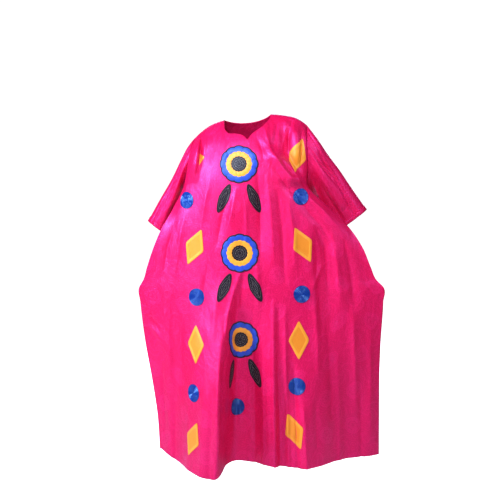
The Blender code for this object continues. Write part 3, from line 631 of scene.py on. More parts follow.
@dataclass(frozen=True)
class BodyForm:
    """The body of the dress as a surface over the front view.

    Attributes:
        fine: whether the finer creases are added to the part's own folds.
    """

    fine: bool = True

    LEVEL_CURVES: ClassVar = {name: Curve.of(LEVELS, "drop", name) for name in Level._fields}
    SHOULDER_CURVE: ClassVar = Curve.of(SHOULDER_LINE, "x", "drop")
    HEM_CURVES: ClassVar = {face: Curve.of(points, "x", "drop") for face, points in HEM.items()}

    def level(self, name: str, drop: Array) -> Array:
        """A column of the body's levels at any drop."""
        return self.LEVEL_CURVES[name](drop)

    def armhole_reach(self, side: Side, face: Face, drop: Array) -> Array:
        """How far an armhole's edge stands off the side seam's line.

        Args:
            side: the armhole's side.
            face: the panel.
            drop: the places' drops.

        Returns:
            The distance along y, 0 at the shoulder and at the armpit.
        """
        span = ARMPIT_DROP[side] - SHOULDER_DROP[side]
        q = np.clip((drop - SHOULDER_DROP[side]) / span, 0.0, 1.0)
        return ARMHOLE_REACH[face] * np.sin(np.pi * q ** ARMHOLE_HIGH[face]) ** ARMHOLE_POWER

    def fold_rise(self, face: Face, x: Array, drop: Array) -> Array:
        """How far the part's own folds move the cloth out.

        Args:
            face: the panel.
            x: the places' x.
            drop: the places' drops.

        Returns:
            The rise of all folds together, in metres.
        """
        total = np.zeros_like(x)
        for fold in FOLDS[face]:
            share = np.clip((drop - fold.top) / (fold.low - fold.top), 0.0, 1.0)
            off = x - (fold.x_top + (fold.x_low - fold.x_top) * share)
            across = np.where(off < 0.0, off / fold.left, off / fold.right)
            strength = eased((drop - fold.top) / fold.fade_top)
            strength = strength * eased((fold.low - drop) / fold.fade_low)
            total += fold.rise * strength * np.exp(-np.abs(across) ** FOLD_POWER)
        return total

    def crease_rise(self, face: Face, x: Array, drop: Array) -> Array:
        """How far the finer creases move the cloth out.

        Args:
            face: the panel.
            x: the places' x.
            drop: the places' drops.

        Returns:
            The rise of all creases together, in metres.
        """
        total = np.zeros_like(x)
        for crease in CREASES[face]:
            line = np.array(crease.line)
            reach = 4.0 * max(crease.left, crease.right)
            low, high = line.min(axis=0) - reach, line.max(axis=0) + reach
            near = (x > low[0]) & (x < high[0]) & (drop > low[1]) & (drop < high[1])
            if near.any():
                total[near] += self._one_crease(crease, line, x[near], drop[near])
        return total

    def _one_crease(self, crease: Crease, line: Array, x: Array, drop: Array) -> Array:
        """One crease's rise, fading at both ends of its line.

        Args:
            crease: the crease's row of the table.
            line: its line as x and drop.
            x: the places' x.
            drop: the places' drops.

        Returns:
            The crease's rise at each place.
        """
        walked = run_length(line)
        best = np.full_like(x, 1e9)
        signed = np.zeros_like(x)
        place = np.zeros_like(x)
        for start, end, before in zip(line[:-1], line[1:], walked[:-1]):
            way = end - start
            length = float(np.hypot(*way))
            along = np.clip(((x - start[0]) * way[0] + (drop - start[1]) * way[1]) / length**2, 0, 1)
            off_x, off_drop = x - start[0] - along * way[0], drop - start[1] - along * way[1]
            gap = np.hypot(off_x, off_drop)
            closer = gap < best
            best = np.where(closer, gap, best)
            turn = way[1] * off_x - way[0] * off_drop
            signed = np.where(closer, np.where(turn < 0.0, -gap, gap), signed)
            place = np.where(closer, before + along * length, place)
        share = place / walked[-1]
        ends = np.sin(np.pi * np.clip(0.08 + 0.84 * share, 0.0, 1.0)) ** 0.8
        if line[-1][1] > HEM_CREASE_DROP:
            ends = np.where(share > 0.5, 1.0, ends)
        across = np.where(signed < 0.0, signed / crease.left, signed / crease.right)
        profile = np.exp(-(np.abs(across / CREASE_WIDTH) ** CREASE_POWER))
        return CREASE_RISE * crease.rise * ends * profile

    def y(self, face: Face, x: Array, drop: Array) -> Array:
        """y of a panel's outer surface at (x, drop) in the front view.

        Args:
            face: the panel.
            x: the places' x.
            drop: the places' drops.

        Returns:
            One y for each place.
        """
        left, right = self.level("left", drop), self.level("right", drop)
        ease = np.clip((x - left) / (right - left), 0.0, 1.0)
        at_edges = self.level("seam", drop)
        at_edges = at_edges + self.armhole_reach(Side.LEFT, face, drop) * eased(
            1.0 - (x - left) / ARMHOLE_FADE
        )
        at_edges = at_edges + self.armhole_reach(Side.RIGHT, face, drop) * eased(
            1.0 - (right - x) / ARMHOLE_FADE
        )
        if face is Face.FRONT:
            off = x - self.level("crown", drop)
            fall = np.where(
                off < 0.0, self.level("fall_left", drop), self.level("fall_right", drop)
            )
            crown = np.abs(off / fall)
        else:
            crown = np.abs(x - BACK_CROWN * (left + right)) / self.level("back_fall", drop)
        share = self.level("share", drop)
        flank = np.where(
            ease < 0.5, self.level("flank_left", drop), self.level("flank_right", drop)
        )
        lens = (1.0 - np.abs(2.0 * ease - 1.0) ** LENS_POWER) ** flank
        full = lens * (1.0 - share) + share * np.exp(-(crown**LENS_POWER)) * eased(lens / LENS_FULL)
        y = at_edges + (self.level(face.value, drop) - at_edges) * full
        rise = self.fold_rise(face, x, drop)
        if self.fine:
            rise = rise + self.crease_rise(face, x, drop)
        y = y + face.outward * rise * eased(np.minimum(x - left, right - x) / EDGE_CALM)
        near_neck = np.clip((ROUND_FROM - np.abs(x)) / ROUND_FADE, 0.0, 1.0)
        reach = SHOULDER_ROUND_ARM + (SHOULDER_ROUND_NECK - SHOULDER_ROUND_ARM) * near_neck
        down = np.clip((drop - self.SHOULDER_CURVE(x)) / reach, 0.0, 1.0)
        return SHOULDER_Y + (y - SHOULDER_Y) * np.sqrt(1.0 - (1.0 - down) ** 2)

    def walk(self, x: float, drop: float, side: Array, down: Array) -> tuple[Array, Array]:
        """Walks down and then sideways along the front panel.

        Args:
            x: the starting place's x.
            drop: the starting place's drop.
            side: how far to walk sideways along the cloth, for each point.
            down: how far to walk down along the cloth, for each point.

        Returns:
            The x and the drop that each point reaches.
        """
        xs, drops = np.full(len(side), float(x)), np.full(len(down), float(drop))
        for way, reach in (((0.0, 1.0), down), ((1.0, 0.0), side)):
            for _ in range(WALK_STEPS):
                near = self.y(Face.FRONT, xs - PROBE * way[0], drops - PROBE * way[1])
                far = self.y(Face.FRONT, xs + PROBE * way[0], drops + PROBE * way[1])
                length = reach / WALK_STEPS / np.hypot(1.0, (far - near) / (2.0 * PROBE))
                xs, drops = xs + length * way[0], drops + length * way[1]
        return xs, drops

    def lifted(self, x: Array, drop: Array, height: Array, reach: float = 0.003) -> Array:
        """Points at a height over the front panel, along its own normal.

        Args:
            x: the places' x.
            drop: the places' drops.
            height: how far each point lies over the cloth.
            reach: how far the slopes are read from.

        Returns:
            The points as rows of x, y and z.
        """
        slope_x = self.y(Face.FRONT, x + reach, drop) - self.y(Face.FRONT, x - reach, drop)
        slope_z = self.y(Face.FRONT, x, drop - reach) - self.y(Face.FRONT, x, drop + reach)
        normal = np.stack([slope_x, np.full_like(x, -2.0 * reach), slope_z], axis=1)
        normal /= np.linalg.norm(normal, axis=1, keepdims=True)
        spot = np.stack([x, self.y(Face.FRONT, x, drop), -drop], axis=1)
        return spot + normal * height[:, None]


COARSE = BodyForm(fine=False)
FINE = BodyForm(fine=True)


@dataclass
class PanelGrid:
    """A panel's outer points, rows from the top edge to the hem and columns from left to right."""

    face: Face
    points: Array = field(init=False)

    def __post_init__(self) -> None:
        """Lays the points by the part's own rule, at a higher density."""
        edge = self._top_edge()
        even = np.linspace(0.0, 1.0, len(edge))
        top_ease = (edge[:, 0] - edge[0, 0]) / (edge[-1, 0] - edge[0, 0])
        armpit = ARMPIT_DROP[Side.LEFT] + (ARMPIT_DROP[Side.RIGHT] - ARMPIT_DROP[Side.LEFT]) * even
        armpit_ease = (1.0 - ARMPIT_SPREAD) * top_ease + ARMPIT_SPREAD * even
        rows = []
        for down in self.armhole_shares():
            drop = edge[:, 1] * (1.0 - down) + armpit * down
            ease = top_ease + (armpit_ease - top_ease) * down**0.7
            left, right = FINE.level("left", drop[0]), FINE.level("right", drop[-1])
            x = left + (right - left) * ease
            rows.append(self._row(x, drop))
        rows += [
            self._skirt_row((j / SKIRT_ROWS) ** SKIRT_CROWDING, even, armpit, armpit_ease)
            for j in range(1, SKIRT_ROWS + 1)
        ]
        self.points = np.array(rows)
        self._open_seams()

    @staticmethod
    def armhole_shares() -> Array:
        """How far down from the top edge to the armpit each row lies."""
        even = np.linspace(0.0, 1.0, ARMHOLE_ROWS * DENSITY + 1)
        return (1.0 - ROW_CROWDING) * even + ROW_CROWDING * (0.5 - 0.5 * np.cos(np.pi * even))

    def _top_edge(self) -> Array:
        """x and drop along the top edge: shoulder, neckline and shoulder.

        Returns:
            Rows of x and drop, one for each column of the grid.
        """
        shoulder = SHOULDER_COLUMNS[self.face] * DENSITY
        neck = NECKLINE[self.face]
        half = NECK_COLUMNS[self.face] * DENSITY // 2
        first = [p for p in SHOULDER_LINE if p.x <= neck[0].x]
        last = [p for p in SHOULDER_LINE if p.x >= neck[-1].x]
        deepest = max(range(len(neck)), key=lambda i: neck[i].drop)
        return np.concatenate(
            [
                self._along(first, shoulder)[:-1],
                self._along(neck[: deepest + 1], half)[:-1],
                self._along(neck[deepest:], half)[:-1],
                self._along(last, shoulder),
            ]
        )

    @staticmethod
    def _along(points: Sequence[Point], count: int) -> Array:
        """Evenly spaced points on a smooth line.

        Args:
            points: the line's points.
            count: how many steps it gets.

        Returns:
            Rows of x and drop.
        """
        x, drop = column(points, "x"), column(points, "drop")
        knots = run_length(np.stack([x, drop], axis=1))
        places = np.linspace(0.0, knots[-1], count + 1)
        return np.stack([Curve(knots, x)(places), Curve(knots, drop)(places)], axis=1)

    def _row(self, x: Array, drop: Array) -> Array:
        """A row's points on the fine surface."""
        return np.stack([x, FINE.y(self.face, x, drop), -drop], axis=1)

    def _skirt_row(self, down: float, even: Array, armpit: Array, armpit_ease: Array) -> Array:
        """One row below the armpits, spaced by the cloth's own width.

        Args:
            down: how far the row lies from the armpits to the hem.
            even: the columns, evenly from 0 to 1.
            armpit: each column's drop at the armpits.
            armpit_ease: where each column lies across the armpits' row.

        Returns:
            The row's points.
        """
        fine = np.linspace(0.0, 1.0, SKIRT_SAMPLES)
        fine_armpit = np.interp(fine, even, armpit)
        x, drop = np.zeros_like(fine), fine_armpit.copy()
        for _ in range(3):
            left, right = FINE.level("left", drop), FINE.level("right", drop)
            x = left + (right - left) * fine
            drop = fine_armpit * (1.0 - down) + FINE.HEM_CURVES[self.face](x) * down
        y = COARSE.y(self.face, x, drop)
        walked = run_length(np.stack([x, y], axis=1))
        started = eased(3.0 * down)
        share = armpit_ease + (even - armpit_ease) * started
        by_cloth = BY_CLOTH * started
        spot = np.interp(share, (1.0 - by_cloth) * fine + by_cloth * walked / walked[-1], fine)
        return self._row(np.interp(spot, fine, x), np.interp(spot, fine, drop))

    def _open_seams(self) -> None:
        """Leaves the seam allowances between this panel and its neighbours."""
        shoulder = SHOULDER_COLUMNS[self.face] * DENSITY + 1
        top = self.points[0]
        top[:shoulder, 1] += self.face.outward * 0.5 * SEAM_GAP
        top[-shoulder:, 1] += self.face.outward * 0.5 * SEAM_GAP
        below = self.points[ARMHOLE_ROWS * DENSITY :]
        for edge, beside in ((0, 1), (-1, -2)):
            seam = below[:, edge, 1].copy()
            for _ in range(SEAM_STEPS):
                step = below[:, beside, :2] - below[:, edge, :2]
                facing = np.abs(step[:, 0]) / np.linalg.norm(step, axis=1)
                stand = CLOTH_THICKNESS * facing + 0.5 * SEAM_GAP
                below[:, edge, 1] = seam + self.face.outward * stand

    def uv(self) -> Array:
        """Metres along the cloth, across from the middle column and down from the shoulders.

        Returns:
            Rows x columns x 2.
        """
        across = np.linalg.norm(np.diff(self.points, axis=1), axis=2)
        u = np.concatenate([np.zeros((len(across), 1)), np.cumsum(across, axis=1)], axis=1)
        u -= u[:, u.shape[1] // 2][:, None]
        down = np.linalg.norm(np.diff(self.points, axis=0), axis=2)
        v = np.concatenate([np.zeros((1, down.shape[1])), np.cumsum(down, axis=0)], axis=0)
        return np.stack([u, -(v - self.points[0, :, 2])], axis=2)

    def armhole(self, side: Side) -> Array:
        """The points of this panel's armhole edge, from the shoulder to the armpit."""
        return self.points[: ARMHOLE_ROWS * DENSITY + 1, side.column]

    def line(self, columns: slice, distance: float, from_hem: bool) -> Array:
        """A line on the panel at a distance from its top edge or its hem.

        Args:
            columns: which columns of the grid the line crosses.
            distance: metres along the cloth from the edge.
            from_hem: whether the edge is the hem and not the top.

        Returns:
            One point for each column.
        """
        found = []
        for points in self.points[:, columns].transpose(1, 0, 2):
            ordered = points[::-1] if from_hem else points
            walked = run_length(ordered)
            found.append([np.interp(distance, walked, ordered[:, k]) for k in range(3)])
        return np.array(found)


@dataclass
class SleeveGrid:
    """A sleeve's outer points, ring by ring from the armhole to the cuff's end."""

    side: Side
    armhole_ring: Array
    points: Array = field(init=False)
    shares: Array = field(init=False)

    def __post_init__(self) -> None:
        """Lays every ring."""
        self.shares = np.linspace(0.0, 1.0, SLEEVE_RINGS + 1) ** 1.05
        self.points = np.array([self._ring(share) for share in self.shares])

    def _turns(self) -> Array:
        """The turn of each point of a ring, in radians from the upper edge over the front.

        Returns:
            One turn for each point of a ring.
        """
        half = np.arccos(1.0 - 2.0 * PanelGrid.armhole_shares())
        turns = np.concatenate([half, 2.0 * np.pi - half[::-1]])
        spare = 0.10 * np.pi / (ARMHOLE_ROWS * DENSITY)
        last = ARMHOLE_ROWS * DENSITY
        turns[[0, last + 1]] += spare
        turns[[last, -1]] -= spare
        return turns

    def _ring(self, share: float) -> Array:
        """One ring at a share of the sleeve's length.

        Args:
            share: the share of the sleeve's length.

        Returns:
            The ring's points.
        """
        at = {
            name: float(Curve.of(SLEEVES[self.side], "share", name)(share))
            for name in Ring._fields[1:]
        }
        turns = self._turns()
        top = np.array([at["top_x"], 0.0, -at["top_drop"]])
        low = np.array([at["low_x"], 0.0, -at["low_drop"]])
        middle, reach = 0.5 * (top + low), 0.5 * (top - low)
        swell = self._swell(share, turns / (2.0 * np.pi))
        ring = middle + np.outer(np.cos(turns), reach)
        ring[:, 1] = at["y"] - np.sin(turns) * at["depth"] - 0.5 * at["lag"] * np.cos(turns)
        ring += np.outer(np.cos(turns) * swell, reach / np.linalg.norm(reach))
        ring[:, 1] -= np.sin(turns) * swell
        settled = eased(share / SLEEVE_SETTLE)
        return self.armhole_ring * (1.0 - settled) + ring * settled

    def _swell(self, share: float, turns: Array) -> Array:
        """How far the sleeve's folds move its cloth out at one ring.

        Args:
            share: the share of the sleeve's length.
            turns: each point's share of the way round.

        Returns:
            The rise of each point, in metres.
        """
        total = np.zeros_like(turns)
        for fold in SLEEVE_FOLDS[self.side] + FINE_SLEEVE_FOLDS[self.side]:
            part = (share - fold.share_from) / (fold.share_to - fold.share_from)
            line = fold.turn_from + (fold.turn_to - fold.turn_from) * part
            off = (turns - line) / fold.width
            ends = math.sin(math.pi * min(max(part, 0.0), 1.0)) ** 0.7
            total += fold.rise * ends * np.exp(-off * off)
        puckers = 0.0012 * np.sin(2.0 * np.pi * 17.0 * turns) * math.exp(-((share / 0.10) ** 2))
        return total + puckers

    def uv(self) -> Array:
        """Metres round the sleeve and along it.

        Returns:
            Rings x points x 2, with the first point given again at the end.
        """
        closed = np.concatenate([self.points, self.points[:, :1]], axis=1)
        across = np.linalg.norm(np.diff(closed, axis=1), axis=2)
        u = np.concatenate([np.zeros((len(across), 1)), np.cumsum(across, axis=1)], axis=1)
        v = run_length(self.points.mean(axis=1))
        return np.stack([u, np.repeat(-v[:, None], u.shape[1], axis=1)], axis=2)

    def normals(self) -> Array:
        """Outward unit normals of all rings.

        Returns:
            Rings x points x 3.
        """
        down = np.gradient(self.points, axis=0)
        across = np.roll(self.points, -1, axis=1) - np.roll(self.points, 1, axis=1)
        normals = np.cross(across, down)
        normals /= np.maximum(np.linalg.norm(normals, axis=2, keepdims=True), 1e-9)
        away = self.points - self.points.mean(axis=1, keepdims=True)
        return normals if float((normals * away).sum()) > 0.0 else -normals


def grid_object(name: str, points: Array, uv: Array, merge: float = 0.0, smooth: bool = True) -> Piece:
    """An object made from a rectangular grid that is laid on points.

    Args:
        name: the object's name.
        points: the places, as rows x columns x 3.
        uv: the cloth's own coordinates in metres, as rows x columns x 2.
        merge: how near two points are joined, or 0 to join none.
        smooth: whether the faces are shaded smooth.

    Returns:
        The object, with its faces turned outwards.
    """
    rows, columns = points.shape[:2]
    shape = bmesh.new()
    layer = shape.loops.layers.uv.new(UV_NAME)
    bmesh.ops.create_grid(shape, x_segments=columns - 1, y_segments=rows - 1, size=1.0)
    places = {}
    for vert in shape.verts:
        i = round((vert.co.x + 1.0) * 0.5 * (columns - 1))
        j = round((vert.co.y + 1.0) * 0.5 * (rows - 1))
        places[vert] = (j, i)
    for vert, (j, i) in places.items():
        vert.co = points[j, i]
    for face in shape.faces:
        for loop in face.loops:
            loop[layer].uv = uv[places[loop.vert]]
    if merge > 0.0:
        bmesh.ops.remove_doubles(shape, verts=shape.verts[:], dist=merge)
        bmesh.ops.dissolve_degenerate(shape, dist=merge * 0.5, edges=shape.edges[:])
    bmesh.ops.recalc_face_normals(shape, faces=shape.faces[:])
    return finished(name, shape, smooth)


def finished(name: str, shape: bmesh.types.BMesh, smooth: bool = True) -> Piece:
    """Turns a bmesh into an object of the scene.

    Args:
        name: the object's name.
        shape: the bmesh, which is freed.
        smooth: whether the faces are shaded smooth.

    Returns:
        The object.
    """
    mesh = bpy.data.meshes.new(name)
    shape.to_mesh(mesh)
    shape.free()
    for polygon in mesh.polygons:
        polygon.use_smooth = smooth
    made = bpy.data.objects.new(name, mesh)
    bpy.context.scene.collection.objects.link(made)
    return made


def face_outwards(piece: Piece, outward: Callable[[Vector], Vector]) -> None:
    """Turns an open sheet's faces over where they look inwards on the whole.

    Args:
        piece: the sheet.
        outward: gives the outward direction at a face's middle.
    """
    total = 0.0
    for polygon in piece.data.polygons:
        total += polygon.normal.dot(outward(polygon.center)) * polygon.area
    if total < 0.0:
        piece.data.flip_normals()


def thicken(piece: Piece, thickness: float, edge_group: str = "") -> None:
    """Gives a sheet its thickness on the inner side.

    Args:
        piece: the sheet.
        thickness: its thickness, in metres.
        edge_group: the vertex group that gets all of the thickness, where the rest gets a share.
    """
    wall = piece.modifiers.new("wall", "SOLIDIFY")
    wall.thickness = thickness
    wall.offset = -1.0
    wall.use_even_offset = False
    wall.use_rim = True
    if edge_group:
        wall.vertex_group = edge_group
        wall.thickness_vertex_group = PLAIN_SHARE


class Chart:
    """Steps on the front panel's cloth round one place, and where they lead in the front view."""

    LATTICE = 49

    def __init__(self, place: Point, reach: float) -> None:
        """Walks a lattice of steps.

        Args:
            place: where the steps start.
            reach: how far the steps go each way.
        """
        self.steps = np.linspace(-reach, reach, self.LATTICE)
        side, down = np.meshgrid(self.steps, self.steps, indexing="ij")
        x, drop = COARSE.walk(place.x, place.drop, side.ravel(), down.ravel())
        self.x, self.drop = x.reshape(side.shape), drop.reshape(side.shape)

    def at(self, side: Array, down: Array) -> tuple[Array, Array]:
        """x and drop after the given steps.

        Args:
            side: steps sideways.
            down: steps down.

        Returns:
            The x and the drop of each point.
        """
        pitch = self.steps[1] - self.steps[0]
        a, b = (side - self.steps[0]) / pitch, (down - self.steps[0]) / pitch
        i = np.clip(a.astype(int), 0, self.LATTICE - 2)
        j = np.clip(b.astype(int), 0, self.LATTICE - 2)
        a, b = a - i, b - j
        found = []
        for grid in (self.x, self.drop):
            low = grid[i, j] * (1.0 - b) + grid[i, j + 1] * b
            high = grid[i + 1, j] * (1.0 - b) + grid[i + 1, j + 1] * b
            found.append(low * (1.0 - a) + high * a)
        return found[0], found[1]

    def lifted(self, side: Array, down: Array, height: Array) -> Array:
        """Points at a height over the cloth after the given steps."""
        x, drop = self.at(side, down)
        return FINE.lifted(x, drop, height)


@dataclass(frozen=True)
class Stitch:
    """A thread's stitch, laid along a line."""

    length: float
    gap: float
    width: float
    height: float

    def run(self, name: str, line: Array, normals: Array) -> Piece:
        """A row of stitches.

        Args:
            name: the object's name.
            line: points along the row.
            normals: the cloth's outward direction at each point of the line.

        Returns:
            One object with every stitch of the row.
        """
        shape = bmesh.new()
        layer = shape.loops.layers.uv.new(UV_NAME)
        walked = run_length(line)
        pitch = self.length + self.gap
        for k in range(int(walked[-1] / pitch)):
            middle = (k + 0.5) * pitch
            ends = [
                Vector([np.interp(middle + off, walked, line[:, a]) for a in range(3)])
                for off in (-0.5 * self.length, 0.5 * self.length)
            ]
            out = Vector([np.interp(middle, walked, normals[:, a]) for a in range(3)]).normalized()
            along = (ends[1] - ends[0]).normalized()
            across = along.cross(out).normalized()
            out = across.cross(along)
            frame = Matrix((along, across, out)).transposed().to_4x4()
            frame.translation = (ends[0] + ends[1]) * 0.5
            size = Matrix.Diagonal((0.5 * self.length, 0.5 * self.width, 0.5 * self.height, 1.0))
            bmesh.ops.create_icosphere(shape, subdivisions=1, radius=1.0, matrix=frame @ size)
        for face in shape.faces:
            for loop in face.loops:
                loop[layer].uv = (loop.vert.co.x, loop.vert.co.z)
        return finished(name, shape)

    def on_front(self, name: str, chart: Chart, steps: Array, height: float) -> Piece:
        """A row of stitches over the front panel.

        Args:
            name: the object's name.
            chart: the chart of the place that the steps start from.
            steps: steps (side, down) along the row.
            height: how far the row lies over the cloth.

        Returns:
            One object with every stitch of the row.
        """
        side, down = resampled(steps, 0.002).T
        line = chart.lifted(side, down, np.full(len(side), PATCH_LIFT + height))
        above = chart.lifted(side, down, np.full(len(side), PATCH_LIFT + height + 0.002))
        return self.run(name, line, above - line)


@dataclass
class Patch:
    """An embroidered piece: a closed relief laid on the front panel.

    Attributes:
        name: the object's name.
        chart: the chart of the place where its middle lies.
        outline: steps (side, down) round the piece, closed by itself.
        rows: scales of the outline from the middle, or from the inner edge, to the outer edge.
        height: gives the relief's height for a scale and a share of the way round.
        base: how far its underside lies over the cloth.
    """

    name: str
    chart: Chart
    outline: Array
    rows: Array
    height: Callable[[Array, Array], Array]
    base: float = PATCH_LIFT

    def build(self) -> Piece:
        """The piece as a closed shell with its underside on the cloth.

        Returns:
            The object.
        """
        closed = np.concatenate([self.outline, self.outline[:1]])
        around = np.linspace(0.0, 1.0, len(closed))
        scales, shares = np.meshgrid(self.rows, around, indexing="ij")
        tops = self.base + self.height(scales, shares)
        count = max(int((self.rows[-1] - self.rows[0]) * UNDER_ROWS), 1)
        below = np.linspace(self.rows[-1], self.rows[0], count + 1)
        below = np.repeat(below[:, None], len(closed), axis=1)
        scales = np.concatenate([scales[:1], scales, below])
        tops = np.concatenate([np.full((1, len(closed)), self.base), tops, below * 0 + self.base])
        side, down = scales * closed[:, 0], scales * closed[:, 1]
        points = self.chart.lifted(side.ravel(), down.ravel(), tops.ravel())
        points = points.reshape(*scales.shape, 3)
        uv = np.stack([side, -down], axis=2)
        return grid_object(self.name, points, uv, merge=PATCH_MERGE)


def turned(steps: Array, angle: float) -> Array:
    """Steps on the cloth, turned by an angle in radians."""
    c, s = math.cos(angle), math.sin(angle)
    return np.stack([steps[:, 0] * c - steps[:, 1] * s, steps[:, 0] * s + steps[:, 1] * c], axis=1)


def circle(radius: float, sides: int) -> Array:
    """Steps round a circle."""
    a = np.linspace(0.0, 2.0 * np.pi, sides, endpoint=False)
    return np.stack([radius * np.sin(a), -radius * np.cos(a)], axis=1)


def polygon(corners: Sequence[tuple[float, float]], per_side: int, rounding: float) -> Array:
    """Steps round a polygon with slightly rounded corners.

    Args:
        corners: the corners as steps (side, down).
        per_side: how many steps each side gets.
        rounding: how much the corners are smoothed, up to 1.

    Returns:
        The steps, closed by themselves.
    """
    points = np.array(corners, float)
    steps = []
    for start, end in zip(points, np.roll(points, -1, axis=0)):
        shares = np.linspace(0.0, 1.0, per_side, endpoint=False)[:, None]
        steps.append(start + (end - start) * shares)
    outline = np.concatenate(steps)
    for _ in range(2):
        near = 0.5 * (np.roll(outline, 1, axis=0) + np.roll(outline, -1, axis=0))
        outline = outline + (near - outline) * rounding
    return outline


@dataclass(frozen=True)
class Finish:
    """A material's colours and gloss."""

    name: str
    base: Colour
    figure: Colour
    roughness: float
    figure_roughness: float
    sheen: float
    sheen_tint: Colour
    coat: float
    gloss_tint: Colour = (1.0, 1.0, 1.0)
    gloss: float = 0.40


DAMASK = Finish(
    "damask", (0.74, 0.007, 0.078), (0.90, 0.018, 0.150), 0.46, 0.34, 0.05, (0.75, 0.10, 1.0), 0.03,
    (0.9, 0.32, 1.0), 0.95,
)
YELLOW_FILL = Finish(
    "yellow_fill", (0.80, 0.25, 0.022), (0.90, 0.34, 0.040), 0.42, 0.36, 0.04, (1.0, 0.9, 0.6), 0.03
)
YELLOW_EDGE = Finish(
    "yellow_edge", (0.86, 0.33, 0.035), (0.95, 0.42, 0.060), 0.36, 0.30, 0.04, (1.0, 0.9, 0.6), 0.05
)
BLUE = Finish(
    "blue", (0.003, 0.020, 0.130), (0.012, 0.075, 0.380), 0.26, 0.20, 0.0, (0.75, 0.85, 1.0), 0.25,
    (0.45, 0.75, 1.0), 0.90,
)
RING_BLUE = Finish(
    "ring_blue", (0.022, 0.050, 0.32), (0.070, 0.140, 0.58), 0.34, 0.28, 0.03, (0.85, 0.85, 1.0), 0.12,
    (0.60, 0.70, 1.0),
)
PALE_THREAD = Finish(
    "pale_thread", (0.48, 0.40, 0.36), (0.66, 0.56, 0.46), 0.44, 0.40, 0.10, (1.0, 1.0, 1.0), 0.05
)
DARK = Finish(
    "dark", (0.014, 0.006, 0.010), (0.030, 0.014, 0.024), 0.50, 0.44, 0.08, (0.8, 0.8, 1.0), 0.05
)
SEWING = Finish(
    "sewing", (0.70, 0.010, 0.090), (0.80, 0.020, 0.13), 0.42, 0.38, 0.10, (0.9, 0.7, 1.0), 0.05
)


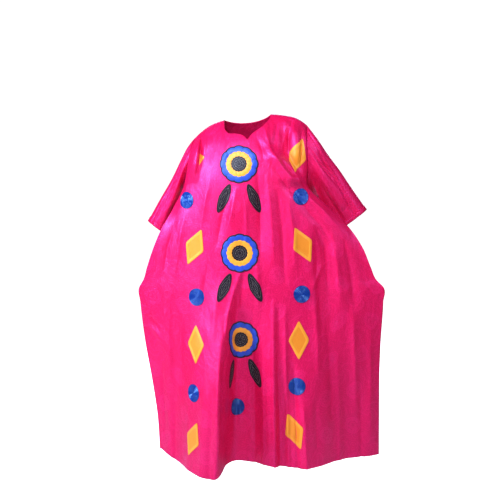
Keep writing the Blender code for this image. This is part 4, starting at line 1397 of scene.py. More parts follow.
class Graph:
    """A material's node tree, put together step by step."""

    def __init__(self, name: str) -> None:
        """Starts an empty tree with a shader and an output.

        Args:
            name: the material's name.
        """
        self.material = bpy.data.materials.new(name)
        self.material.use_nodes = True
        self.tree = self.material.node_tree
        self.shader = self.tree.nodes["Principled BSDF"]

    def node(self, kind: str, **settings: Setting) -> bpy.types.Node:
        """Adds a node and sets its properties.

        Args:
            kind: the node's type.
            settings: its properties by name.

        Returns:
            The node.
        """
        made = self.tree.nodes.new(kind)
        for key, value in settings.items():
            setattr(made, key, value)
        return made

    def feed(self, socket: Socket, value: Union[Value, tuple[float, ...]]) -> None:
        """Links a socket to another, or sets it to a constant.

        Args:
            socket: the socket that is fed.
            value: another socket, or a constant.
        """
        if isinstance(value, Socket):
            self.tree.links.new(value, socket)
        else:
            socket.default_value = value

    def maths(self, operation: str, *values: Value) -> Socket:
        """One arithmetic step.

        Args:
            operation: the operation's name.
            values: what it works on.

        Returns:
            The result.
        """
        made = self.node("ShaderNodeMath", operation=operation)
        for socket, value in zip(made.inputs, values):
            self.feed(socket, value)
        return made.outputs[0]

    def band(self, value: Value, middle: Value, half: float) -> Socket:
        """1 on a line where value equals middle, falling to 0 at half beside it."""
        gap = self.maths("ABSOLUTE", self.maths("SUBTRACT", value, middle))
        return self.step(self.maths("SUBTRACT", half, gap), half * 0.35)

    def step(self, value: Value, soft: float) -> Socket:
        """0 to 1 as value rises past 0.

        Args:
            value: what is read.
            soft: how far from 0 the step reaches, on either side.

        Returns:
            The step.
        """
        made = self.node("ShaderNodeMapRange", interpolation_type="SMOOTHSTEP")
        for name, number in (("From Min", -soft), ("From Max", soft)):
            made.inputs[name].default_value = number
        self.feed(made.inputs["Value"], value)
        return made.outputs["Result"]

    def larger(self, *values: Socket) -> Socket:
        """The largest of several values.

        Args:
            values: what is compared.

        Returns:
            The largest.
        """
        result = values[0]
        for value in values[1:]:
            result = self.maths("MAXIMUM", result, value)
        return result

    def blend(self, share: Value, low: Union[Socket, Colour], high: Colour) -> Socket:
        """A colour between two, by share.

        Args:
            share: 0 for low and 1 for high.
            low: the first colour.
            high: the second colour.

        Returns:
            The colour.
        """
        made = self.node("ShaderNodeMix", data_type="RGBA")
        self.feed(made.inputs[0], share)
        self.feed(made.inputs[6], low if isinstance(low, Socket) else (*low, 1.0))
        self.feed(made.inputs[7], (*high, 1.0))
        return made.outputs[2]

    def noise(self, vector: Socket, scale: float, detail: float, rough: float = 0.5) -> Socket:
        """A noise value from 0 to 1.

        Args:
            vector: where it is read.
            scale: its scale.
            detail: its number of octaves.
            rough: how strong the finer octaves are.

        Returns:
            The value.
        """
        made = self.node("ShaderNodeTexNoise", noise_dimensions="3D")
        made.inputs["Scale"].default_value = scale
        made.inputs["Detail"].default_value = detail
        made.inputs["Roughness"].default_value = rough
        self.feed(made.inputs["Vector"], vector)
        return made.outputs[0]

    def stretched(self, place: Socket, share: float) -> Socket:
        """The place with its second coordinate scaled, so that a pattern runs upright.

        Args:
            place: the place.
            share: the second coordinate's scale.

        Returns:
            The scaled place.
        """
        made = self.node("ShaderNodeMapping")
        made.inputs["Scale"].default_value = (1.0, share, 1.0)
        self.feed(made.inputs["Vector"], place)
        return made.outputs[0]

    def cloth_place(self) -> tuple[Socket, Socket, Socket]:
        """The UV map in metres, as a vector and its two parts.

        Returns:
            The place, its distance across and its distance along.
        """
        place = self.node("ShaderNodeUVMap", uv_map=UV_NAME).outputs[0]
        parts = self.node("ShaderNodeSeparateXYZ")
        self.feed(parts.inputs[0], place)
        return place, parts.outputs[0], parts.outputs[1]

    def bump(
        self, height: Socket, distance: float, strength: float, under: Optional[Socket] = None
    ) -> Socket:
        """A normal that follows a height.

        Args:
            height: the height, from 0 to 1.
            distance: the height of 1 in metres.
            strength: how much of it counts.
            under: the normal that it is laid over.

        Returns:
            The normal.
        """
        made = self.node("ShaderNodeBump")
        made.inputs["Distance"].default_value = distance
        made.inputs["Strength"].default_value = strength
        self.feed(made.inputs["Height"], height)
        if under is not None:
            self.feed(made.inputs["Normal"], under)
        return made.outputs[0]

    def close(
        self, finish: Finish, colour: Socket, roughness: Socket, normal: Socket
    ) -> bpy.types.Material:
        """Feeds the shader and returns the material.

        Args:
            finish: the finish.
            colour: the base colour.
            roughness: the roughness.
            normal: the normal.

        Returns:
            The finished material.
        """
        inputs = self.shader.inputs
        self.feed(inputs["Base Color"], colour)
        self.feed(inputs["Roughness"], roughness)
        self.feed(inputs["Normal"], normal)
        inputs["Sheen Weight"].default_value = finish.sheen
        inputs["Sheen Roughness"].default_value = SHEEN_ROUGHNESS
        inputs["Sheen Tint"].default_value = (*finish.sheen_tint, 1.0)
        inputs["Coat Weight"].default_value = finish.coat
        inputs["Coat Roughness"].default_value = COAT_ROUGHNESS
        inputs["Specular IOR Level"].default_value = finish.gloss
        inputs["Specular Tint"].default_value = (*finish.gloss_tint, 1.0)
        return self.material


@dataclass(frozen=True)
class DamaskWeave:
    """The tone-on-tone figure: round medallions, small flowers and curling leaves between them.

    Attributes:
        across: the repeat across the cloth, in metres.
        down: the repeat down the cloth, in metres.
        medallion: the medallion's radius, in metres.
        scale_size: the size of the ground's groups of arcs, in metres.
        scale_pitch: the pitch of the arcs, in metres.
    """

    across: float = 0.138
    down: float = 0.146
    medallion: float = 0.034
    scale_size: float = 0.040
    scale_pitch: float = 0.0085

    def material(self, finish: Finish) -> bpy.types.Material:
        """The damask cloth's material.

        Args:
            finish: the cloth's colours and gloss.

        Returns:
            The material.
        """
        g = Graph(finish.name)
        place, u, v = g.cloth_place()
        figure = g.larger(
            self._medallion(g, u, v), self._scrolls(g, u, v), self._scales(g, place)
        )
        grain = g.noise(place, 900.0, 2.0)
        cloud = g.noise(place, 9.0, 2.0)
        tone = g.maths("MULTIPLY_ADD", grain, 0.16, g.maths("MULTIPLY", figure, 0.84))
        colour = g.blend(tone, finish.base, finish.figure)
        colour = g.blend(g.maths("MULTIPLY", cloud, 0.20), colour, tuple(0.8 * c for c in finish.base))
        gloss = g.maths("MULTIPLY_ADD", figure, finish.figure_roughness - finish.roughness, finish.roughness)
        crinkle = g.bump(self._crinkles(g, place), 0.010, 0.55)
        crinkle = g.bump(g.noise(g.stretched(place, 0.4), 55.0, 3.0, 0.55), 0.005, 0.45, crinkle)
        raised = g.bump(figure, 0.0010, 0.50, crinkle)
        threads = g.bump(self._threads(g, u, v), 0.00012, 0.35, raised)
        return g.close(finish, colour, gloss, threads)

    def _crinkles(self, g: Graph, place: Socket) -> Socket:
        """Crisp lines of starched cloth, mostly upright.

        Args:
            g: the material's graph.
            place: the place on the cloth.

        Returns:
            The height of the lines.
        """
        made = g.node("ShaderNodeTexNoise", noise_type="RIDGED_MULTIFRACTAL")
        made.inputs["Scale"].default_value = 13.0
        made.inputs["Detail"].default_value = 2.0
        made.inputs["Roughness"].default_value = 0.4
        g.feed(made.inputs["Vector"], g.stretched(place, 0.38))
        return made.outputs[0]

    def _scales(self, g: Graph, place: Socket) -> Socket:
        """Arcs round scattered middles, which fill the ground between the figures.

        Args:
            g: the material's graph.
            place: the place on the cloth.

        Returns:
            How much of the figure shows.
        """
        made = g.node("ShaderNodeTexVoronoi", voronoi_dimensions="2D", feature="F1")
        made.inputs["Scale"].default_value = 1.0 / self.scale_size
        g.feed(made.inputs["Vector"], place)
        rings = 2.0 * math.pi * self.scale_size / self.scale_pitch
        wave = g.maths("SINE", g.maths("MULTIPLY", made.outputs["Distance"], rings))
        broken = g.step(g.maths("SUBTRACT", g.noise(place, 140.0, 1.0), 0.46), 0.08)
        return g.maths("MULTIPLY", g.maths("MULTIPLY", g.step(wave, 0.5), broken), 0.6)

    def _cell(self, g: Graph, u: Socket, v: Socket, shift: float) -> tuple[Socket, Socket]:
        """The distance and the angle from the middle of the repeat, shifted by a share of it.

        Args:
            g: the material's graph.
            u: metres across the cloth.
            v: metres along the cloth.
            shift: the shift, as a share of the repeat.

        Returns:
            The distance and the angle.
        """
        local = []
        for value, size in ((u, self.across), (v, self.down)):
            cells = g.maths("MULTIPLY_ADD", value, 1.0 / size, shift + 50.0)
            middle = g.maths("SUBTRACT", g.maths("FRACT", cells), 0.5)
            local.append(g.maths("MULTIPLY", middle, size))
        squares = [g.maths("MULTIPLY", value, value) for value in local]
        radius = g.maths("SQRT", g.maths("ADD", *squares))
        return radius, g.maths("ARCTAN2", local[1], local[0])

    def _medallion(self, g: Graph, u: Socket, v: Socket) -> Socket:
        """A ringed flower with eight petals, beads and a scalloped edge, all in thin lines.

        Args:
            g: the material's graph.
            u: metres across the cloth.
            v: metres along the cloth.

        Returns:
            How much of the figure shows.
        """
        radius, angle = self._cell(g, u, v, 0.0)
        size = self.medallion
        scallop = g.maths("ABSOLUTE", g.maths("COSINE", g.maths("MULTIPLY", angle, 9.0)))
        edge = g.maths("MULTIPLY_ADD", scallop, 0.08 * size, 0.90 * size)
        border = g.band(radius, edge, 0.045 * size)
        inner = g.band(radius, 0.70 * size, 0.030 * size)
        petal = g.maths("ABSOLUTE", g.maths("COSINE", g.maths("MULTIPLY", angle, 4.0)))
        petals = [
            g.band(radius, g.maths("MULTIPLY_ADD", petal, reach * size, start * size), 0.035 * size)
            for reach, start in ((0.40, 0.22), (0.26, 0.14))
        ]
        beads = g.maths(
            "MULTIPLY",
            g.band(radius, 0.80 * size, 0.05 * size),
            g.step(g.maths("COSINE", g.maths("MULTIPLY", angle, 26.0)), 0.3),
        )
        return g.larger(border, inner, *petals, beads)

    def _scrolls(self, g: Graph, u: Socket, v: Socket) -> Socket:
        """Curling lines of dots round a small flower, in the middle between four medallions.

        Args:
            g: the material's graph.
            u: metres across the cloth.
            v: metres along the cloth.

        Returns:
            How much of the figure shows.
        """
        radius, angle = self._cell(g, u, v, 0.5)
        turn = g.maths("MULTIPLY_ADD", radius, 210.0, g.maths("MULTIPLY", angle, 5.0))
        arms = g.step(g.maths("SUBTRACT", g.maths("SINE", turn), 0.70), 0.20)
        dots = g.step(g.maths("SINE", g.maths("MULTIPLY", radius, 2.0 * math.pi / 0.0042)), 0.4)
        near = g.maths(
            "MULTIPLY",
            g.step(g.maths("SUBTRACT", radius, 0.015), 0.002),
            g.step(g.maths("SUBTRACT", 0.052, radius), 0.008),
        )
        bud = g.maths("ABSOLUTE", g.maths("COSINE", g.maths("MULTIPLY", angle, 2.5)))
        tip = g.maths("MULTIPLY_ADD", bud, 0.007, 0.004)
        small = g.band(radius, tip, 0.0012)
        return g.larger(g.maths("MULTIPLY", g.maths("MULTIPLY", arms, near), dots), small)

    def _threads(self, g: Graph, u: Socket, v: Socket) -> Socket:
        """The warp and weft, two sets of fine lines.

        Args:
            g: the material's graph.
            u: metres across the cloth.
            v: metres along the cloth.

        Returns:
            The threads' height, from 0 to 1.
        """
        lines = []
        for value, pitch in ((u, 0.00070), (v, 0.00055)):
            wave = g.maths("SINE", g.maths("MULTIPLY", value, 2.0 * math.pi / pitch))
            lines.append(g.maths("MULTIPLY_ADD", wave, 0.5, 0.5))
        return g.maths("MULTIPLY", *lines)


def thread_material(finish: Finish) -> bpy.types.Material:
    """Embroidery thread: strands of slightly different tone with a fine twist.

    Args:
        finish: the thread's colours and gloss.

    Returns:
        The material.
    """
    g = Graph(finish.name)
    place, u, v = g.cloth_place()
    strands = g.noise(place, 420.0, 2.0, 0.6)
    patches = g.noise(place, 60.0, 2.0)
    tone = g.maths("MULTIPLY_ADD", strands, 0.7, g.maths("MULTIPLY", patches, 0.3))
    colour = g.blend(tone, finish.base, finish.figure)
    gloss = g.maths("MULTIPLY_ADD", strands, finish.figure_roughness - finish.roughness, finish.roughness)
    twist = g.maths("SINE", g.maths("MULTIPLY", g.maths("ADD", u, v), 2.0 * math.pi / 0.0009))
    normal = g.bump(g.maths("MULTIPLY_ADD", strands, 0.7, twist), 0.0001, 0.35)
    return g.close(finish, colour, gloss, normal)


@dataclass
class Lozenge:
    """A filled lozenge with a raised border worked parallel to its edges."""

    spot: LozengeSpot
    per_side: int = 16
    border_from: float = 0.70
    ridge_pitch: float = 0.0022

    @property
    def node(self) -> str:
        """The piece's node in the part."""
        return self.spot.name

    def outline(self) -> Array:
        """Steps round the lozenge.

        Returns:
            The steps, turned by the lozenge's lean.
        """
        corners = (
            (0.0, -LOZENGE_LONG),
            (LOZENGE_SHORT, 0.0),
            (0.0, LOZENGE_LONG),
            (-LOZENGE_SHORT, 0.0),
        )
        return turned(polygon(corners, self.per_side, 0.6), -math.radians(self.spot.lean))

    def depth(self) -> float:
        """How far the middle lies from an edge."""
        return LOZENGE_LONG * LOZENGE_SHORT / math.hypot(LOZENGE_LONG, LOZENGE_SHORT)

    def fill_height(self, scales: Array, shares: Array) -> Array:
        """Rows of flat stitches."""
        ridges = np.cos(2.0 * np.pi * scales * self.depth() / (1.5 * self.ridge_pitch))
        return 0.0006 + 0.00012 * ridges

    def border_height(self, scales: Array, shares: Array) -> Array:
        """A rounded band with ridges.

        Args:
            scales: each point's scale of the outline.
            shares: not used.

        Returns:
            The heights.
        """
        across = (scales - self.border_from) / (1.0 - self.border_from)
        ridges = np.cos(2.0 * np.pi * (1.0 - scales) * self.depth() / self.ridge_pitch)
        return 0.0008 + 0.0007 * np.sin(np.pi * np.clip(across, 0.02, 0.98)) ** 0.5 + 0.00016 * ridges

    def build(self) -> dict[Piece, Finish]:
        """The fill and the border.

        Returns:
            Each piece with its finish.
        """
        chart = Chart(Point(self.spot.x, self.spot.drop), 1.05 * LOZENGE_LONG)
        outline = self.outline()
        fill_rows = np.linspace(0.0, self.border_from + 0.03, 26)
        border_rows = np.linspace(self.border_from, 1.0, 26)
        fill = Patch(self.spot.name + "_fill", chart, outline, fill_rows, self.fill_height)
        border = Patch(self.spot.name + "_border", chart, outline, border_rows, self.border_height)
        return {fill.build(): YELLOW_FILL, border.build(): YELLOW_EDGE}


@dataclass
class Sliver:
    """What shows of the first lozenge beside the closed pleat."""

    node: str = "lozenge_left_1"

    def build(self) -> dict[Piece, Finish]:
        """The sliver as one small piece.

        Returns:
            The piece with its finish.
        """
        outline = polygon(SLIVER_STEPS, 10, 0.5)

        def height(scales: Array, shares: Array) -> Array:
            """Rows parallel to the edges."""
            return 0.0011 + 0.00016 * np.cos(2.0 * np.pi * scales * 5.0)

        rows = np.linspace(0.0, 1.0, 24)
        chart = Chart(SLIVER, 0.040)
        return {Patch(self.node + "_edge", chart, outline, rows, height).build(): YELLOW_EDGE}


@dataclass
class SpiralDisc:
    """A round of thread laid in a spiral from the middle outwards."""

    spot: Spot
    pitch: float = 0.0050
    sides: int = 72

    @property
    def node(self) -> str:
        """The piece's node in the part."""
        return self.spot.name

    def height(self, scales: Array, shares: Array) -> Array:
        """A low dome with a spiral ridge.

        Args:
            scales: each point's scale of the outline.
            shares: each point's share of the way round.

        Returns:
            The heights.
        """
        ridge = np.cos(2.0 * np.pi * (scales * DISC_RADIUS / self.pitch - shares))
        dome = 0.0016 * np.sqrt(np.clip(1.0 - (0.92 * scales) ** 2, 0.0, 1.0))
        return 0.0010 + dome + 0.00070 * ridge * eased(scales / 0.08)

    def build(self) -> dict[Piece, Finish]:
        """The disc.

        Returns:
            The piece with its finish.
        """
        rows = np.linspace(0.0, 1.0, 70)
        outline = circle(DISC_RADIUS, self.sides)
        chart = Chart(Point(self.spot.x, self.spot.drop), 1.05 * DISC_RADIUS)
        return {Patch(self.node + "_spiral", chart, outline, rows, self.height).build(): BLUE}


@dataclass
class Rosette:
    """A generic round flower: twelve blue lobes, sixteen yellow petals and a dark stitched middle."""

    spot: Spot
    lobes: int = 12
    petals: int = 16
    blue_edge: float = 0.0715
    blue_from: float = 0.0500
    yellow_edge: float = 0.0525
    yellow_from: float = 0.0310
    stitched_rings: tuple[float, ...] = (0.0080, 0.0160, 0.0235)

    @property
    def node(self) -> str:
        """The piece's node in the part."""
        return self.spot.name

    @cached_property
    def chart(self) -> Chart:
        """The cloth round the rosette's middle."""
        return Chart(Point(self.spot.x, self.spot.drop), 1.05 * ROSETTE_RADIUS)

    @staticmethod
    def _lobed(radius: float, count: int, depth: float, sides: int) -> Array:
        """Steps round an edge of so many rounded lobes.

        Args:
            radius: the radius at the lobes' tips.
            count: how many lobes.
            depth: how deep the notches are, as a share of the radius.
            sides: how many steps.

        Returns:
            The steps.
        """
        shares = np.linspace(0.0, 1.0, sides, endpoint=False)
        lobe = np.abs(np.cos(np.pi * count * shares)) ** 0.6
        return circle(1.0, sides) * (radius * (1.0 - depth + depth * lobe))[:, None]

    def _ground(self) -> Piece:
        """The dark ground with a corded, lobed rim.

        Returns:
            The object.
        """
        outline = self._lobed(ROSETTE_RADIUS, self.lobes, 0.045, 240)
        rows = np.linspace(0.0, 1.0, 44)

        def height(scales: Array, shares: Array) -> Array:
            """Flat, with a cord along the rim.

            Args:
                scales: each point's scale of the outline.
                shares: each point's share of the way round.

            Returns:
                The heights.
            """
            cord = np.exp(-(((scales - 0.965) / 0.026) ** 2))
            twist = 1.0 + 0.25 * np.cos(2.0 * np.pi * (80.0 * shares + 6.0 * scales))
            return 0.0005 + 0.0014 * cord * twist

        return Patch(self.node + "_ground", self.chart, outline, rows, height).build()

    def _band(self, name: str, edge: float, start: float, count: int) -> Piece:
        """A ring of petals worked outwards, with a groove between each two.

        Args:
            name: the end of the object's name.
            edge: the outer radius.
            start: the inner radius.
            count: how many petals.

        Returns:
            The object.
        """
        outline = self._lobed(edge, count, 0.075, 24 * count)
        rows = np.linspace(start / edge, 1.0, 18)

        def height(scales: Array, shares: Array) -> Array:
            """A rounded petal with stitches across it.

            Args:
                scales: each point's scale of the outline.
                shares: each point's share of the way round.

            Returns:
                The heights.
            """
            across = (scales - rows[0]) / (1.0 - rows[0])
            top = np.sin(np.pi * np.clip(across, 0.03, 0.97)) ** 0.6
            lobe = np.abs(np.cos(np.pi * count * shares)) ** 0.5
            stitches = np.cos(2.0 * np.pi * 6.0 * count * shares)
            return 0.0008 + 0.0014 * top * (0.25 + 0.75 * lobe) + 0.00014 * stitches

        return Patch(self.node + name, self.chart, outline, rows, height).build()

    def _middle(self) -> Piece:
        """Stitched rings and a small star in the dark middle.

        Returns:
            One object with all the stitches.
        """
        lines = [circle(radius, 60) for radius in self.stitched_rings]
        lines = [np.concatenate([line, line[:1]]) for line in lines]
        for k in range(8):
            way = turned(np.array([[0.0, 0.0110], [0.0, 0.0135], [0.0, 0.0200]]), 0.25 * math.pi * k)
            lines.append(way)
        stitch = Stitch(0.0026, 0.0014, 0.0011, 0.0008)
        runs = [
            stitch.on_front(f"{self.node}_run_{k}", self.chart, line, 0.0008)
            for k, line in enumerate(lines)
        ]
        return joined(self.node + "_stitches", runs)

    def build(self) -> dict[Piece, Finish]:
        """All the rosette's pieces.

        Returns:
            Each piece with its finish.
        """
        return {
            self._ground(): DARK,
            self._band("_lobes", self.blue_edge, self.blue_from, self.lobes): RING_BLUE,
            self._band("_petals", self.yellow_edge, self.yellow_from, self.petals): YELLOW_EDGE,
            self._middle(): PALE_THREAD,
        }


@dataclass
class Leaf:
    """A pointed dark leaf under a rosette, with dashed veins."""

    rosette: Spot
    side: Side

    @property
    def node(self) -> str:
        """The leaf's node in the part."""
        return f"{self.rosette.name.replace('rosette', 'leaf')}_{self.side.value}"

    @property
    def spread(self) -> float:
        """How far the leaf is turned from straight down, in radians."""
        return -self.side.sign * LEAF_SPREAD

    @cached_property
    def chart(self) -> Chart:
        """The cloth round the leaf's middle.

        Returns:
            The chart.
        """
        step = turned(np.array([[0.0, LEAF_START + 0.5 * LEAF_LENGTH]]), self.spread)
        x, drop = COARSE.walk(self.rosette.x, self.rosette.drop, step[:, 0], step[:, 1])
        return Chart(Point(float(x[0]), float(drop[0])), 0.55 * LEAF_LENGTH)

    def _outline(self, sides: int) -> Array:
        """Steps round the leaf from its middle, before it is turned.

        Args:
            sides: how many steps.

        Returns:
            The steps.
        """
        a = np.linspace(0.0, 2.0 * np.pi, sides, endpoint=False)
        width = LEAF_HALF_WIDTH * np.sin(a) * (1.0 - 0.25 * np.abs(np.cos(a)))
        return np.stack([width, -0.5 * LEAF_LENGTH * np.cos(a)], axis=1)

    def _blade(self) -> Piece:
        """The leaf itself.

        Returns:
            The object.
        """
        steps = turned(self._outline(64), self.spread)

        def height(scales: Array, shares: Array) -> Array:
            """A raised edge round slanting stitches.

            Args:
                scales: each point's scale of the outline.
                shares: each point's share of the way round.

            Returns:
                The heights.
            """
            edge = np.exp(-(((scales - 0.93) / 0.05) ** 2))
            slant = np.cos(2.0 * np.pi * (34.0 * shares + 2.0 * scales))
            return 0.0007 + 0.0006 * edge + 0.00012 * slant

        rows = np.linspace(0.0, 1.0, 26)
        return Patch(self.node + "_blade", self.chart, steps, rows, height).build()

    def _veins(self) -> Piece:
        """Dashes along the middle and in two rows inside the edge.

        Returns:
            One object with all the dashes.
        """
        half = 0.42 * LEAF_LENGTH
        lines = [np.array([[0.0, -half], [0.0, half]])]
        for share in (0.40, 0.72):
            inner = self._outline(80) * share
            lines.append(np.concatenate([inner, inner[:1]]))
        stitch = Stitch(0.0028, 0.0026, 0.0012, 0.0008)
        runs = [
            stitch.on_front(f"{self.node}_run_{k}", self.chart, turned(line, self.spread), 0.0009)
            for k, line in enumerate(lines)
        ]
        return joined(self.node + "_veins", runs)

    def build(self) -> dict[Piece, Finish]:
        """The blade and its veins."""
        return {self._blade(): DARK, self._veins(): PALE_THREAD}


def joined(name: str, pieces: Sequence[Piece]) -> Piece:
    """Several meshes as one object.

    Args:
        name: the new object's name.
        pieces: the objects, which are removed.

    Returns:
        The new object.
    """
    shape = bmesh.new()
    for piece in pieces:
        shape.from_mesh(piece.data)
        mesh = piece.data
        bpy.data.objects.remove(piece)
        bpy.data.meshes.remove(mesh)
    return finished(name, shape)


class Lamp(NamedTuple):
    """A lamp's place, what it looks at, its side in metres, its power in watts and its colour."""

    name: str
    place: tuple[float, float, float]
    aim: tuple[float, float, float]
    size: float
    power: float
    colour: Colour


COOL = (0.64, 0.80, 1.0)
WARM = (1.0, 0.55, 0.45)
MIDDLE = (0.0, 0.0, -0.60)
LAMPS = (
    Lamp("key", (-2.3, -1.35, 0.65), MIDDLE, 0.7, 105.0, COOL),
    Lamp("high", (-0.5, -1.7, 0.8), (0.0, 0.0, -0.4), 0.7, 50.0, COOL),
    Lamp("fill", (1.4, -2.8, 0.5), MIDDLE, 1.8, 11.0, WARM),
    Lamp("side", (1.9, -1.1, 0.8), (0.3, 0.0, -0.3), 0.9, 26.0, COOL),
    Lamp("back", (0.4, 3.4, 0.9), MIDDLE, 2.6, 85.0, COOL),
)


@dataclass
class Studio:
    """Pale floor, soft light mostly from the upper left, and the camera.

    Attributes:
        floor_drop: how far the floor lies below the origin.
        camera_place: where the camera stands.
        tilt: how far the camera looks down, in radians.
        lens: its focal length in millimetres, on a sensor 36 mm wide.
        ambient: the backdrop's light on the dress.
        backdrop: the backdrop's own brightness in the picture.
        floor_glow: the floor's own brightness in the picture.
        exposure: the picture's exposure.
        gamma: the picture's gamma.
    """

    floor_drop: float = 1.490
    camera_place: tuple[float, float, float] = (0.006, -4.0, -0.290)
    tilt: float = math.radians(3.46)
    lens: float = 71.7
    ambient: float = 0.04
    backdrop: float = 1.02
    floor_glow: float = 1.05
    exposure: float = 0.10
    gamma: float = 0.82

    def build(self) -> None:
        """Adds everything round the dress."""
        self._floor()
        self._world()
        for lamp in LAMPS:
            self._lamp(lamp)
        self._camera()

    def _floor(self) -> None:
        """A large pale floor."""
        shape = bmesh.new()
        turn = Matrix.Translation((0.0, 0.0, -self.floor_drop))
        bmesh.ops.create_circle(shape, cap_ends=True, segments=96, radius=30.0, matrix=turn)
        floor = finished("floor", shape, smooth=False)
        g = Graph("floor")
        place = g.node("ShaderNodeTexCoord").outputs["Object"]
        grain = g.noise(place, 3.0, 2.0)
        g.feed(g.shader.inputs["Base Color"], g.blend(grain, (0.84, 0.84, 0.84), (0.88, 0.88, 0.88)))
        g.shader.inputs["Roughness"].default_value = 0.8
        g.shader.inputs["Emission Color"].default_value = (1.0, 1.0, 1.0, 1.0)
        seen = g.node("ShaderNodeLightPath").outputs["Is Camera Ray"]
        g.feed(g.shader.inputs["Emission Strength"], g.maths("MULTIPLY", seen, self.floor_glow))
        floor.data.materials.append(g.material)

    def _world(self) -> None:
        """A white backdrop all round, which lights the dress only softly."""
        world = bpy.data.worlds.new("studio")
        world.use_nodes = True
        bpy.context.scene.world = world
        tree = world.node_tree
        seen = tree.nodes.new("ShaderNodeLightPath")
        strength = tree.nodes.new("ShaderNodeMapRange")
        strength.inputs["To Min"].default_value = self.ambient
        strength.inputs["To Max"].default_value = self.backdrop
        tree.links.new(seen.outputs["Is Camera Ray"], strength.inputs["Value"])
        tint = tree.nodes.new("ShaderNodeMix")
        tint.data_type = "RGBA"
        tint.inputs[6].default_value = (1.0, 0.82, 0.75, 1.0)
        tint.inputs[7].default_value = (1.0, 1.0, 1.0, 1.0)
        background = tree.nodes["Background"]
        tree.links.new(seen.outputs["Is Camera Ray"], tint.inputs[0])
        tree.links.new(tint.outputs[2], background.inputs["Color"])
        tree.links.new(strength.outputs["Result"], background.inputs["Strength"])

    def _lamp(self, lamp: Lamp) -> None:
        """A square soft lamp.

        Args:
            lamp: the lamp's row of the table.
        """
        data = bpy.data.lights.new(lamp.name, "AREA")
        data.shape, data.size, data.energy, data.color = "SQUARE", lamp.size, lamp.power, lamp.colour
        made = bpy.data.objects.new(lamp.name, data)
        made.location = lamp.place
        made.visible_camera = False
        way = Vector(lamp.aim) - Vector(lamp.place)
        made.rotation_euler = way.to_track_quat("-Z", "Y").to_euler()
        bpy.context.scene.collection.objects.link(made)

    def _camera(self) -> None:
        """The camera, tilted down a little."""
        data = bpy.data.cameras.new("camera")
        data.lens = self.lens
        data.sensor_width = 36.0
        camera = bpy.data.objects.new("camera", data)
        camera.location = self.camera_place
        camera.rotation_euler = (0.5 * math.pi - self.tilt, 0.0, 0.0)
        bpy.context.scene.collection.objects.link(camera)
        bpy.context.scene.camera = camera
        view = bpy.context.scene.view_settings
        view.view_transform = "Standard"
        view.exposure, view.gamma = self.exposure, self.gamma


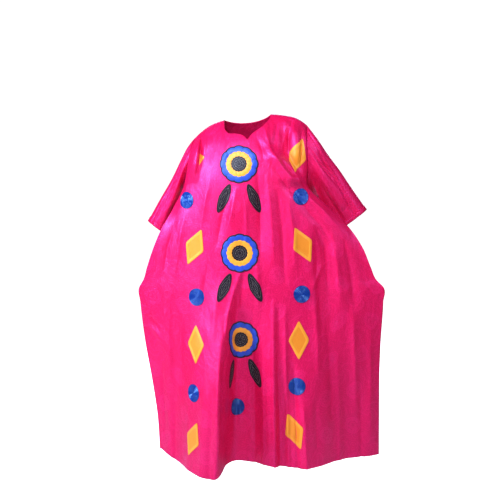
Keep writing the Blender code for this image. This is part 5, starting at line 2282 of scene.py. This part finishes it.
class Dress:
    """The whole garment."""

    PANEL_FLAT = {Face.FRONT: (1.25, 1.45, 1.30), Face.BACK: (1.25, 1.45, 1.30)}
    SLEEVE_FLAT = {Side.LEFT: (0.43, 0.39, 0.117), Side.RIGHT: (0.54, 0.43, 0.161)}
    CUFF_FLAT = (0.37, 0.018)
    HEM_STITCH = Stitch(0.0034, 0.0010, 0.0008, 0.0006)
    HEM_FROM_EDGE = 0.020
    NECK_FROM_EDGE = 0.007
    CUFF_LIFT = 0.0016
    CUFF_STITCH_LIFT = 0.0018
    HEM_STITCH_LIFT = 0.0002

    def __init__(self) -> None:
        """Makes the materials."""
        self.finishes = {
            finish: thread_material(finish)
            for finish in (YELLOW_FILL, YELLOW_EDGE, BLUE, RING_BLUE, PALE_THREAD, DARK, SEWING)
        }
        self.damask = DamaskWeave().material(DAMASK)
        self.grids = {face: PanelGrid(face) for face in Face}

    def _dressed(self, piece: Piece, material: bpy.types.Material) -> Piece:
        """Gives a piece its material and body.

        Args:
            piece: the piece.
            material: its material.

        Returns:
            The same piece.
        """
        piece.data.materials.append(material)
        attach(piece, ROOT_BODY)
        return piece

    def _panel(self, face: Face) -> Piece:
        """A panel with its hem turned up.

        Args:
            face: the panel's face.

        Returns:
            The panel.
        """
        grid = self.grids[face]
        panel = grid_object(f"{face.value}_panel_cloth", grid.points, grid.uv())
        face_outwards(panel, lambda place: Vector((0.0, face.outward, 0.0)))
        plain = panel.vertex_groups.new(name="turned")
        edge = self.HEM_FROM_EDGE
        for vert in panel.data.vertices:
            hem = float(FINE.HEM_CURVES[face](vert.co.x))
            share = 1.0 if hem + vert.co.z < edge else 0.0
            plain.add([vert.index], share, "REPLACE")
        thicken(panel, CLOTH_THICKNESS / PLAIN_SHARE, "turned")
        return self._dressed(panel, self.damask)

    def _panel_stitches(self, face: Face) -> list[Piece]:
        """The stitching along a panel's hem and neck.

        Args:
            face: the panel's face.

        Returns:
            The hem's row and the neck's row.
        """
        grid = self.grids[face]
        shoulder = SHOULDER_COLUMNS[face] * DENSITY
        neck = slice(shoulder, shoulder + NECK_COLUMNS[face] * DENSITY + 1)
        made = []
        for name, columns, distance, from_hem in (
            ("hem", slice(2, -2), self.HEM_FROM_EDGE, True),
            ("neck", neck, self.NECK_FROM_EDGE, False),
        ):
            line = grid.line(columns, distance, from_hem)
            above = grid.line(columns, distance + 0.004, from_hem)
            down = above - line if not from_hem else line - above
            along = np.gradient(line, axis=0)
            normals = np.cross(down, along)
            normals /= np.maximum(np.linalg.norm(normals, axis=1, keepdims=True), 1e-9)
            if float(normals[:, 1].mean()) * face.outward < 0.0:
                normals = -normals
            row = self.HEM_STITCH.run(
                f"{face.value}_{name}_stitches", line + normals * self.HEM_STITCH_LIFT, normals
            )
            made.append(self._dressed(row, self.finishes[SEWING]))
        return made

    def _sleeve(self, side: Side) -> tuple[Piece, Piece, Piece]:
        """A sleeve, its turned cuff and the cuff's stitching.

        Args:
            side: the sleeve's side.

        Returns:
            The sleeve, the cuff and the stitches.
        """
        away = np.array([side.sign * ARMHOLE_GAP, 0.0, 0.0])
        front, back = self.grids[Face.FRONT].armhole(side), self.grids[Face.BACK].armhole(side)
        grid = SleeveGrid(side, np.concatenate([front, back[::-1]]) + away)
        closed = np.concatenate([grid.points, grid.points[:, :1]], axis=1)
        uv = grid.uv()
        sleeve = grid_object(f"sleeve_{side.value}_cloth", closed, uv, merge=CLOTH_MERGE)
        middle = Vector(grid.points[SLEEVE_RINGS // 2].mean(axis=0))
        face_outwards(sleeve, lambda place: place - middle)
        thicken(sleeve, CLOTH_THICKNESS)
        self._dressed(sleeve, self.damask)
        normals = grid.normals()
        last = int(np.searchsorted(grid.shares, 1.0 - CUFF_SHARE))
        band = (grid.points + normals * self.CUFF_LIFT)[last:]
        band = np.concatenate([band, band[:, :1]], axis=1)
        cuff = grid_object(f"cuff_{side.value}_cloth", band, uv[last:], merge=CLOTH_MERGE)
        face_outwards(cuff, lambda place: place - middle)
        thicken(cuff, CLOTH_THICKNESS)
        self._dressed(cuff, self.damask)
        rows = []
        for k, ring in enumerate((last + 1, -2)):
            line = grid.points[ring] + normals[ring] * self.CUFF_STITCH_LIFT
            line = np.concatenate([line, line[:1]])
            out = np.concatenate([normals[ring], normals[ring][:1]])
            rows.append(self.HEM_STITCH.run(f"cuff_{side.value}_row_{k}", line, out))
        stitches = joined(f"cuff_{side.value}_stitches", rows)
        self._dressed(stitches, self.finishes[SEWING])
        return sleeve, cuff, stitches

    def _embroidery(self) -> list[Piece]:
        """Every embroidered piece, on the front panel.

        Returns:
            The pieces.
        """
        motifs = [Sliver()]
        motifs += [Lozenge(spot) for spot in LOZENGES]
        motifs += [SpiralDisc(spot) for spot in DISCS]
        motifs += [Rosette(spot) for spot in ROSETTES]
        motifs += [Leaf(spot, side) for spot in ROSETTES for side in Side]
        made = []
        for motif in motifs:
            pieces = motif.build()
            for piece, finish in pieces.items():
                made.append(self._dressed(piece, self.finishes[finish]))
            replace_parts(next(iter(pieces)), motif.node)
        return made

    def build(self) -> None:
        """Builds every piece and hides the part's pieces that they replace."""
        patches = self._embroidery()
        for face in Face:
            panel = self._panel(face)
            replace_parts(panel, f"{face.value}_panel")
            on_it = self._panel_stitches(face) + (patches if face is Face.FRONT else [])
        for side in Side:
            sleeve, cuff, stitches = self._sleeve(side)
            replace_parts(sleeve, f"sleeve_{side.value}")
            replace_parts(cuff, f"cuff_{side.value}")
        LOG.info("dress built with %d embroidered pieces", len(patches))


def main() -> None:
    """Loads the frame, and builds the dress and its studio."""
    logging.basicConfig(level=logging.INFO, format="%(levelname)s %(message)s")
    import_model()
    Dress().build()
    Studio().build()


if __name__ == "__main__":
    main()
